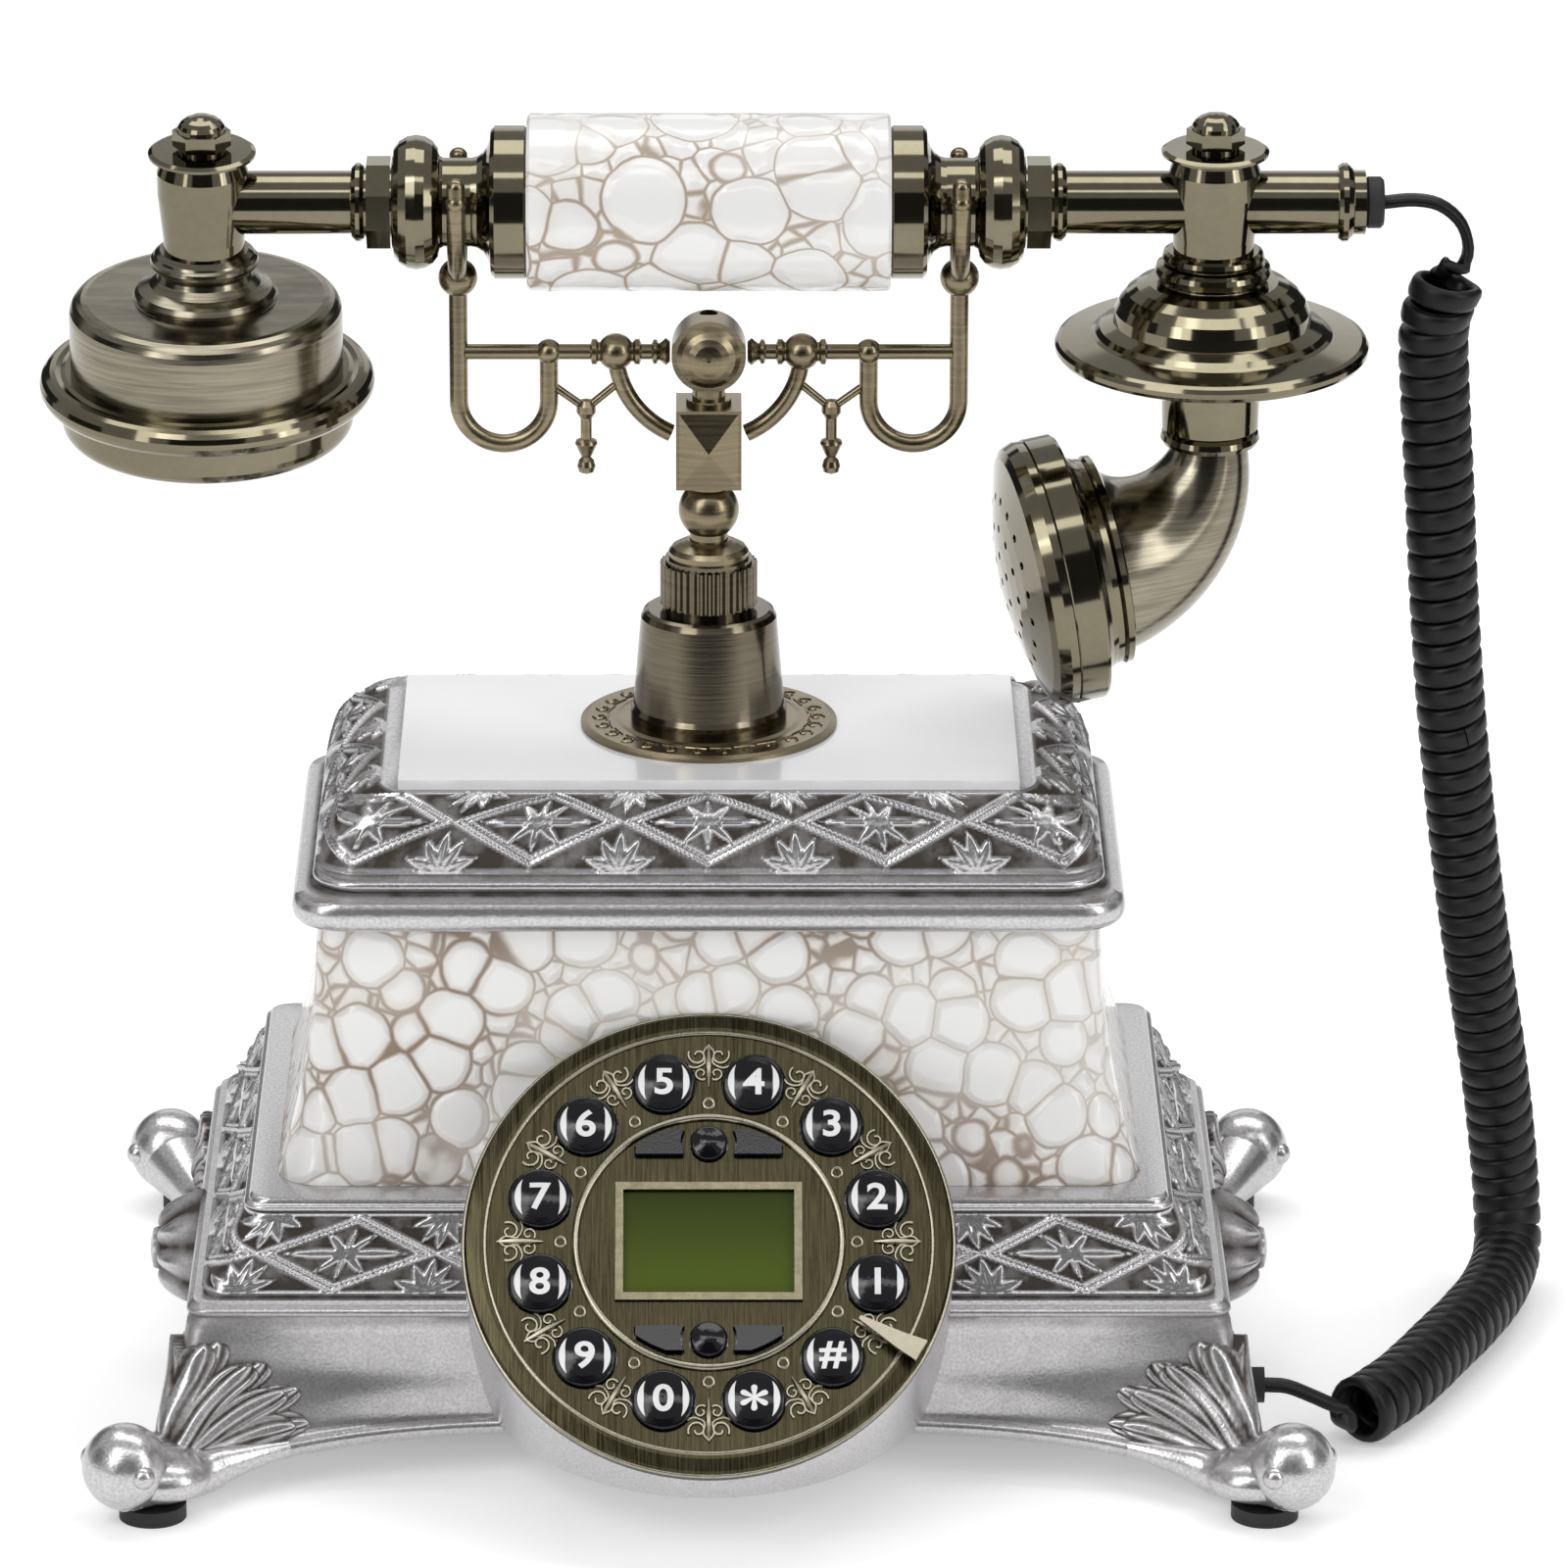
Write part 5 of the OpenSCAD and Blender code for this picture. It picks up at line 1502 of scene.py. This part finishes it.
    def _foot(self, lip: Array, sx: int, sy: int) -> list[Piece]:
        """Make one foot.

        Args:
            lip: The points of the skirt's lip.
            sx: 1 on the right, -1 on the left.
            sy: 1 at the back, -1 at the front.

        Returns:
            Its ball and sole, and a roll and an eye for each side of the leg.
        """
        knob = [(0, -8.4), *arc(0, 0, self.ball_r, -78, 78, 16), (0, 8.4)]
        middle = np.array([sx * self.foot[0], sy * self.foot[1], self.foot_lift + self.ball_r])
        spot = PLACES.base() @ Matrix.Translation(middle.tolist())
        tip = spot @ turned(-self.ball_lean * sx * sy, "Z") @ turned(self.ball_tilt, "X")
        under = spot @ Matrix.Translation((-6.5 * sx, -3.5 * sy, -3.3))
        parts = [lathe("ball", knob, tip @ Matrix.Diagonal(self.ball_squash), 40),
                 lathe("sole", knob, under @ Matrix.Diagonal(self.sole_squash), 40)]
        x, y = lip[:, 0] * sx, lip[:, 1] * sy
        long_side = (y > 62.5) & (x > 80) & (x < 103)
        short_side = (x > 99) & (y > 50) & (y < 72)
        for chosen, order, (ex, ey) in ((long_side, x, (-0.5, 0.86)),
                                        (short_side, y, (0.86, -0.5))):
            line = lip[chosen][np.argsort(order[chosen])][::4]
            line = smooth_line(np.vstack([line, middle - np.array([0, 0, 0.9])]), 1.0)
            parts.append(rod("roll", even_line(line, 26), lambda t: 1.7 + 6.2 * t**1.15,
                             PLACES.base(), 24))
            eye = middle + self.eye_out * np.array([ex * sx, ey * sy, 0.05])
            bead = [(0, -self.eye_r), *arc(0, 0, self.eye_r, -80, 80), (0, self.eye_r)]
            parts.append(lathe("eye", bead, PLACES.base() @ Matrix.Translation(eye.tolist()), 20))
        return parts

    def _leaves(self) -> Piece:
        """Make the acanthus leaves that wrap the corners of the skirt.

        Returns:
            The piece.
        """
        levels = [k for k in self._skirt_rings() if k.hx > 95 and 5.0 < k.z < 33.0]
        skin = self.leaf_steps.skin(between(levels, 3))
        out = skin_normals(skin)
        reach, cards = self.leaf_reach, []
        for number, middle in enumerate(self.leaf_steps.corner_columns()):
            columns = [(middle + i) % skin.shape[1] for i in range(-reach, reach + 1)]
            bare = skin[:, columns]
            (patch, a), (normal, _) = (even_rows(grid, reach, self.leaf_step, bare)
                                       for grid in (bare, out[:, columns]))
            normal = unit_rows(normal)
            climb = walk(patch[:, len(a) // 2])
            v = np.arange(0, climb[-1], self.leaf_step)
            patch, normal = (np.stack([sample(grid[:, c], climb, v) for c in range(len(a))], 1)
                             for grid in (patch, normal))
            carved = self._acanthus(*np.meshgrid(np.abs(a), v))
            lift = np.where(carved > 0.02, 0.5 + self.leaf_relief * carved, -0.8)
            cards.append(self._card(f"leaf_{number}", patch + normal * lift[..., None], carved))
        return join_pieces("corner_leaves", cards)

    @staticmethod
    def _acanthus(a: Array, v: Array) -> Array:
        """Lay the lobes of half an acanthus leaf over each other.

        Args:
            a: Places out from the corner, in millimetres.
            v: Places up it.

        Returns:
            The leaf's heights.
        """
        lobes = (((-2.0, -1.5), 5, 31, 4.0, 2.5, 1.0), ((0, 0), 19, 27, 5.4, 4.5, 0.9),
                 ((0, 0), 38, 26.5, 5.8, 7.0, 0.8), ((0, 0), 60, 26.5, 6.0, 6.5, 0.7),
                 ((0, 0), 80, 19.5, 4.6, 3.0, 0.6))
        return np.maximum.reduce([layer * lobe(v, a, *sizes) for *sizes, layer in lobes])

    def _card(self, name: str, patch: Array, carved: Array) -> Piece:
        """Close a carved patch behind.

        Args:
            name: The piece's name.
            patch: Its rows of points.
            carved: Its heights, which give its brown stain and painted shade in the hollows.

        Returns:
            The piece.
        """
        inwards = unit_rows(-patch.mean(axis=(0, 1)) * [1, 1, 0])
        numbers = np.arange(carved.size).reshape(carved.shape)
        front = grid_faces(*carved.shape, wrap=False)
        rim = np.concatenate([numbers[0], numbers[1:, -1], numbers[-1, -2::-1],
                              numbers[-2:0:-1, 0]])
        walls = np.stack([np.roll(rim, -1), rim, rim + carved.size,
                          np.roll(rim, -1) + carved.size], 1)
        made = make_piece(name, np.stack([patch, patch + inwards * self.leaf_back]),
                          np.concatenate([front, front[:, ::-1] + carved.size, walls]),
                          PLACES.base(), 60)
        # Brown stain and painted shade on the low ground round the lobes and in the creases
        # between them.
        dip = carved - np.maximum.reduce([np.roll(carved, step, axis) for step in (-3, 3)
                                          for axis in (0, 1)])
        wash_and_shade = np.clip(1 - 1.6 * carved, 0, 1) + np.clip(-4.0 * dip, 0, 0.95) * (carved > 0.02)
        paint_wash_and_shade(made, np.stack([np.clip(wash_and_shade, 0, 1)] * 2))
        return made

    def _end_rosettes(self) -> Piece:
        """Make the round ornament on each end of the base.

        Returns:
            The piece.
        """
        angles = np.linspace(0, TURN, 96, endpoint=False)
        reach = np.linspace(0.02, 1, 26)[:, None]
        petal = 0.5 + 0.5 * np.cos(8 * angles)[None, :]
        rim = reach * (self.rosette_r + 1.1 * petal)
        dome = self.rosette_deep * np.sqrt(np.clip(1 - (reach * 0.995) ** 2, 0, 1))
        along = np.clip((reach - 0.36) / 0.64, 0, 1)
        carved = np.where(reach > 0.36, petal**0.6 * np.sin(np.pi * along) ** 0.5, 0.8)
        z = dome * (0.93 + 0.07 * carved) - 1.2 * (1 - carved) * (reach < 0.98)
        rows = np.stack([rim * np.cos(angles), rim * np.sin(angles), z], 2)[::-1]
        rosettes = []
        for side in (-1, 1):
            place = PLACES.base() @ Matrix.Translation((side * self.skirt[0], 0, self.rosette_z))
            # Brown stain and painted shade in the hollows between the petals.
            made = closed_skin("rosette", rows, (1 - carved)[::-1], place @ turned(90 * side, "Y"),
                               60)
            turn_outwards(made.data)
            rosettes.append(made)
        return join_pieces("end_rosettes", rosettes)


# ---- Body and lid ----


@dataclass
class BodyAndLid:
    """The white waisted body and the silver lid with its carved crown."""

    low: tuple[float, float] = (84.0, 48.5)
    top: tuple[float, float] = (76.0, 42.5)
    corner_r: float = 9.0
    body_z: float = 55.0
    tall: float = 51.0
    lid: tuple[float, float] = (80.5, 47.0)
    step: float = 5.0
    crown_z: float = 116.6
    crown: float = 14.7
    inset: tuple[float, float] = (13.5, 7.5)
    crown_relief: float = 1.2
    carving: StarFrieze = StarFrieze(32.5, 17.5, 15.8, 14.2)

    def build(self) -> None:
        """Build the body, the mouldings and the crown."""
        settle(self._body(), Body.BASE, Look.BODY_WHITE, Slot.WHITE, "body_shell")
        settle(self._mouldings(), Body.BASE, Look.SILVER, Slot.SILVER, "lid_casting")
        settle(self._crown(), Body.BASE, Look.SILVER, Slot.SILVER)

    def _body(self) -> Piece:
        """Make the waisted body.

        Returns:
            The piece.
        """
        rings = []
        for t in np.linspace(0, 1, 26):
            hx, hy = (b + (a - b) * (1 - t) ** 2.2 for a, b in zip(self.low, self.top))
            rings.append(Ring(self.body_z + max(0.05, self.tall * t), hx, hy, self.corner_r))
        return closed_skin("body_skin", Outline(40, 24, 14).skin(rings))

    def _mouldings(self) -> Piece:
        """Make the big lower moulding and the bead over it.

        Returns:
            The piece.
        """
        low = bulge(109.4, 3.3, 2.6, -2.6, range(10, 150, 12), 0.8)
        high = bulge(114.4, 1.1, 4.9, -1.0, range(10, 180, 20))
        levels = [(106.02, 4), (106.02, 2.6), *low, (112.3, 2.4), (112.9, 3.6), (113.1, 4.9),
                  *high, (115.6, 4.9), (117, 5.0)]
        skin = Outline(50, 30, 12).skin([
            Ring(z, self.lid[0] - inset, self.lid[1] - inset, self.corner_r)
            for z, inset in levels])
        z = skin[..., 2]
        # Brown stain and painted shade in the groove between the two mouldings and where the crown
        # sits on them.
        wash_and_shade = np.clip(1 - np.abs(z - 112.95) / 0.6, 0, 1) + np.clip((z - 115.4) / 0.4, 0, 1)
        return closed_skin("lid_mouldings", skin, np.clip(wash_and_shade, 0, 0.9))

    def _crown(self) -> Piece:
        """Make the rounded crown with its carving, and the flat under the panel.

        Returns:
            The piece.
        """
        rings = []
        for a in np.radians(np.linspace(0, 86, 46)):
            hx, hy = (b - self.step - c * (1 - math.cos(a)) for b, c in zip(self.lid, self.inset))
            rings.append(Ring(self.crown_z + self.crown * math.sin(a), hx, hy, 8))
        skin = Outline(440, 250, 22).skin(rings)
        climb = walk(skin[:, skin.shape[1] // 2])
        u, v = np.meshgrid(frieze_places(skin), climb / climb[-1] * self.carving.tall)
        carved = self.carving.height(u, v)
        edge = np.clip((self.carving.tall - v) / 1.2, 0, 1)
        lift = self.crown_relief * carved * edge - 0.5
        # Brown stain and painted shade in the carving's hollows.
        return closed_skin("lid_crown", skin + skin_normals(skin) * lift[..., None],
                           (1 - np.clip(1.7 * carved, 0, 1)) * 0.95, crease=60)


# ---- What repeats round a circle ----


class RingOf:
    """A Geometry Nodes tree that sets copies of a shape round a circle."""

    def __init__(self, name: str, shape: Piece, look: Look) -> None:
        """Build the tree for one shape and one finish.

        Args:
            name: Name of the tree.
            shape: The object that is repeated.
            look: The finish of the copies.
        """
        tree = bpy.data.node_groups.new(name, "GeometryNodeTree")
        for key, kind, value in (("Count", "NodeSocketInt", 12), ("Radius", "NodeSocketFloat", 1)):
            tree.interface.new_socket(key, in_out="INPUT", socket_type=kind).default_value = value
        tree.interface.new_socket("Geometry", in_out="OUTPUT", socket_type="NodeSocketGeometry")
        graph = Graph(tree)
        given = tree.nodes.new("NodeGroupInput").outputs
        place = graph.add("GeometryNodeMeshLine", Count=given["Count"], Offset=(0, 0, 0))
        number = graph.add("GeometryNodeInputIndex").outputs[0]
        angle = graph.math("MULTIPLY", number, graph.math("DIVIDE", TURN, given["Count"]))
        x, y = (graph.math("MULTIPLY", graph.math(side, angle), given["Radius"])
                for side in ("COSINE", "SINE"))
        spot = graph.add("ShaderNodeCombineXYZ", X=x, Y=y)
        turn = graph.add("ShaderNodeCombineXYZ", Z=angle)
        moved = graph.add("GeometryNodeSetPosition", Geometry=place.outputs[0],
                          Position=spot.outputs[0])
        source = graph.add("GeometryNodeObjectInfo", Object=shape)
        copies = graph.add("GeometryNodeInstanceOnPoints", Points=moved.outputs[0],
                           Instance=source.outputs["Geometry"], Rotation=turn.outputs[0])
        real = graph.add("GeometryNodeRealizeInstances", Geometry=copies.outputs[0])
        dressed = graph.add("GeometryNodeSetMaterial", Geometry=real.outputs[0],
                            Material=look.material())
        graph.add("NodeGroupOutput", i0=dressed.outputs[0])
        self.tree, self.shape = tree, shape

    def make(self, name: str, place: Matrix, count: int, radius: float) -> Piece:
        """Make the ring of copies as a plain mesh, and remove the shape that was repeated.

        Args:
            name: The piece's name.
            place: The ring's frame, in millimetres.
            count: How many copies.
            radius: Radius of the circle, in millimetres.

        Returns:
            The piece.
        """
        holder = put_in_scene(name, bpy.data.meshes.new(name + "_seed"))
        live = holder.modifiers.new("ring", "NODES")
        live.node_group = self.tree
        sockets = {s.name: s.identifier for s in self.tree.interface.items_tree
                   if s.in_out == "INPUT"}
        live[sockets["Count"]], live[sockets["Radius"]] = count, radius * MM
        mesh = plain_mesh(holder)
        for spent in (holder, self.shape):
            bpy.data.objects.remove(spent)
        scaled = place.copy()
        scaled.translation *= MM
        mesh.transform(scaled)
        return finish_mesh(name, mesh, 45)


# ---- Dial ----


@dataclass
class Dial:
    """The dial's trim, its key figures and its display."""

    key_circle: float = 33.4
    key_r: float = 5.3
    key_first: float = -15.0
    key_rim: float = 1.37
    key_dome: float = 0.83
    ink: float = 0.05
    figure_tall: float = 7.4
    star_tall: float = 11.0
    crescent_r: float = 4.95
    crescent_thick: float = 1.25
    crescent_half: float = 46.0
    crescent_steps: int = 18
    faces: dict[str, str] = field(default_factory=lambda: {
        **{f"key_{digit}": digit for digit in "1234567890"}, "key_star": "*", "key_hash": "#"})
    knobs: tuple[str, ...] = ("fn_top", "fn_top_left", "fn_top_right", "fn_low", "fn_low_left",
                              "fn_low_right")

    def build(self) -> None:
        """Build the dial's pieces and dress its CAD nodes."""
        dress(Look.DIAL, "dial_ring", "dial_plate")
        dress(Look.FRAME, "lcd_frame")
        dress(Look.TRIM, "finger_stop")
        dress(Look.SCREEN, "lcd_screen")
        dress(Look.BOARD, "key_board")
        dress(Look.KEY, *self.faces, *self.knobs)
        for number, (node, sign) in enumerate(self.faces.items()):
            angle = math.radians(self.key_first + 360 / len(self.faces) * number)
            spot = PLACES.dial() @ Matrix.Translation(
                (self.key_circle * math.cos(angle), self.key_circle * math.sin(angle), 0))
            settle(self._figure(node, sign, spot), node, Look.FIGURE, Slot.KEY)
            settle(self._crescents(node, spot), node, Look.FIGURE, Slot.KEY)
        self._trim()

    def _on_dome(self, x: Array, y: Array) -> Array:
        """Return points laid on a key's dome, from their places over its middle."""
        s = np.clip(np.hypot(x, y) / self.key_r, 0, 1)
        return np.stack([x, y, self.key_rim + self.key_dome * (1 - s * s) + self.ink], 1)

    def _figure(self, node: str, sign: str, spot: Matrix) -> Piece:
        """Make a key's figure.

        Args:
            node: The key's name.
            sign: What stands on it.
            spot: The key's frame.

        Returns:
            The piece.
        """
        text = bpy.data.curves.new(node + "_figure", "FONT")
        text.body, text.align_x, text.align_y = sign, "CENTER", "CENTER"
        text.size = self.star_tall if sign == "*" else self.figure_tall
        text.offset, text.resolution_u = 0.16, 6
        holder = put_in_scene("text", text)
        flat = plain_mesh(holder)
        bpy.data.objects.remove(holder)
        with reworked(flat) as work:
            bmesh.ops.remove_doubles(work, verts=work.verts, dist=0.01)
            bmesh.ops.triangulate(work, faces=work.faces)
            for _ in range(3):
                long_edges = [e for e in work.edges if e.calc_length() > 0.7]
                bmesh.ops.subdivide_edges(work, edges=long_edges, cuts=1)
                bmesh.ops.triangulate(work, faces=work.faces)
        cloud = np.array([v.co for v in flat.vertices])
        x, y, _ = ((cloud - (cloud.min(0) + cloud.max(0)) / 2) * [1.12, 1, 1]).T
        return make_piece(node + "_figure", self._on_dome(x, y),
                          [tuple(p.vertices) for p in flat.polygons], spot)

    def _crescents(self, node: str, spot: Matrix) -> Piece:
        """Make the two pale crescents either side of a key's figure.

        Args:
            node: The key's name.
            spot: The key's frame.

        Returns:
            The piece.
        """
        half, steps = self.crescent_half, self.crescent_steps
        a = np.linspace(-half, half, steps + 1)[:, None]
        thick = self.crescent_thick * np.cos(np.radians(a / half * 88))
        r = self.crescent_r - thick * np.arange(4) / 3
        turns = [np.radians(side + a) for side in (0, 180)]
        x, y = (np.concatenate([r * rule(t) for t in turns]).ravel() for rule in (np.cos, np.sin))
        one = grid_faces(steps + 1, 4, wrap=False)[:, [1, 0, 3, 2]]
        return make_piece(node + "_marks", self._on_dome(x, y),
                          np.concatenate([one, one + r.size]), spot)

    def _trim(self) -> None:
        """Build the rings, scrolls and beads of the plate."""
        place, trim = PLACES.dial(), Look.TRIM
        eyelet = lathe("eyelet", [*arc(1.0, 0, 0.34, 0, 360, 10)[:-1], (1.34, 0)], FLAT, 20)
        for made in (
                RingOf("ring_of_eyelets", eyelet, trim).make("dial_eyelets", place, 12, 28.4),
                RingOf("ring_of_scrolls", self._scroll(), trim).make("dial_scrolls", place, 12,
                                                                     36.3),
                torus("dial_inner_ring", 25.5, 0.25, 0.75, place, 12),
                torus("dial_outer_bead", 42.9, 0.2, 0.45, place, 10),
                torus("dial_rim_bead", 47.0, -0.9, 0.45, place, 10)):
            settle(made, Body.BASE, trim, Slot.BRONZE)

    @staticmethod
    def _scroll() -> Piece:
        """Make one filigree scroll, pointing inwards from the rim.

        Returns:
            The shape that is repeated.
        """
        parts = []
        for side in (-1, 1):
            parts.append(rod("curl", spiral((1.9, 2.1), 1.9, 0.72, (0.35, 2.45), side), 0.30))
            parts.append(rod("curl", spiral((-1.8, 1.45), 1.35, 0.7, (1.2, -0.8), side), 0.26))
            wave = smooth_line([(4.0, 0, 0.25), (2.6, side * 1.0, 0.3), (0.4, side * 0.8, 0.3),
                                (-0.6, side * 2.6, 0.25), (-0.2, side * 4.1, 0.2)], 0.3)
            parts.append(rod("stem", wave, 0.26))
        spine = smooth_line([(4.3, 0, 0.2), (2.0, 0, 0.35), (-1.0, 0, 0.35), (-4.6, 0, 0.2)], 0.5)
        parts.append(rod("spine", spine, lambda s: 0.2 + 0.45 * math.sin(math.pi * s)))
        return join_pieces("scroll_shape", parts)


def spiral(middle: tuple[float, float], r: float, shrink: float, turns: tuple[float, float],
           side: int) -> Array:
    """Draw a flat curl of wire.

    Args:
        middle: Its middle, in millimetres.
        r: Its radius where it starts.
        shrink: The share of the radius that it loses.
        turns: Where it starts and ends, in half turns.
        side: 1, or -1 for its mirror image.

    Returns:
        Its points.
    """
    t = np.linspace(0, 1, 26)
    turn = math.pi * (turns[0] + (turns[1] - turns[0]) * t)
    r = r * (1 - shrink * t)
    return np.stack([middle[0] + r * np.cos(turn), side * (middle[1] + r * np.sin(turn)),
                     0.25 + 0 * t], 1)


# ---- Cradle stand ----


@dataclass
class Stand:
    """The stand and its cradle, the disc's engraving, and the telephone's plain fittings."""

    engraved_z: float = 133.9
    engraved_r: float = 21.2
    curls: int = 26

    def build(self) -> None:
        """Dress the stand and the fittings, and engrave the disc."""
        dress(Look.BELL, "stand_bell", "stand_nut")
        dress(Look.STAND, "stand_disc", "stand_collar", "cradle_post", "cradle_arm_left",
              "cradle_arm_right", "fork_left", "fork_right")
        dress(Look.PLASTIC, "hook_switch", "bottom_cover", "line_socket")
        dress(Look.STEEL, "hook_spring", "cover_screws")
        dress(Look.RUBBER, "rubber_feet", "cord_bush_base", "cord_bush_handset")
        dress(Look.PANEL, "top_panel")
        ring = RingOf("ring_of_engraving", self._curl(), Look.STAND)
        place = PLACES.post() @ Matrix.Translation((0, 0, self.engraved_z))
        settle(ring.make("disc_engraving", place, self.curls, self.engraved_r), Body.BASE,
               Look.STAND, Slot.BRASS)

    @staticmethod
    def _curl() -> Piece:
        """Make one small curl of the disc's engraved ring.

        Returns:
            The shape that is repeated.
        """
        t = np.linspace(0, 1, 14)
        turn, r = TURN * 0.85 * t, 1.5 * (1 - 0.6 * t)
        curl = np.stack([r * np.cos(turn), r * np.sin(turn) * 1.1, 0.05 + 0 * t], 1)
        stem = np.stack([-1.7 + 0.5 * t, -2.2 + 4.2 * t, 0.05 + 0 * t], 1)
        return join_pieces("engraving_shape", [rod("curl", curl, 0.22, sides=5),
                                               rod("stem", stem, 0.2, sides=5)])


# ---- Handset ----


@dataclass
class Handset:
    """The handset's bar, ear drum and mouth horn."""

    horn_top: float = 49.2
    bend_r: float = 23.0
    bend: float = 80.5
    start_r: float = 7.3
    end_r: float = 18.3
    wall: float = 2.2
    steps: int = 40
    sides: int = 72

    def build(self) -> None:
        """Dress the handset and build its horn."""
        dress(Look.GRIP_WHITE, "grip_sleeve")
        dress(Look.POLISHED, "neck_left", "neck_right", "head_left", "head_right",
              "head_nuts", "mouth_dome", "ear_cap", "mouth_bell", "mouth_grille")
        dress(Look.DRUM, "ear_drum")
        settle(self._horn(), Body.HANDSET, Look.DRUM, Slot.SHELL, "mouth_horn")

    def _horn(self) -> Piece:
        """Make the widening horn with its open inside.

        Returns:
            The piece.
        """
        side = np.linspace(0, TURN, self.sides, endpoint=False)
        walls = []
        for wall, way in ((0.0, 1), (self.wall, -1)):
            t = np.linspace(0, 1, self.steps)[::way, None]
            a = np.radians(self.bend * t)
            r = self.start_r + (self.end_r - self.start_r) * t**1.15 - wall
            reach = self.bend_r + r * np.cos(side)
            walls.append(np.stack([reach * np.cos(a) - self.bend_r, -r * np.sin(side),
                                   -self.horn_top - reach * np.sin(a)], 2))
        skin = np.concatenate(walls)
        return make_piece("mouth_horn_skin", skin, grid_faces(len(skin), self.sides, loop=True),
                          PLACES.horn(), weld=True)


# ---- Telephone ----


def main() -> None:
    """Build the telephone: camera and cord first, then each sub-assembly."""
    logging.basicConfig(level=logging.INFO, format="%(name)s %(message)s")
    studio = Studio()
    studio.place_camera()
    for part in (CurlyCord(), Base(), BodyAndLid(), Dial(), Stand(), Handset()):
        LOG.info("building %s", type(part).__name__)
        part.build()
    studio.light()


if __name__ == "__main__":
    main()
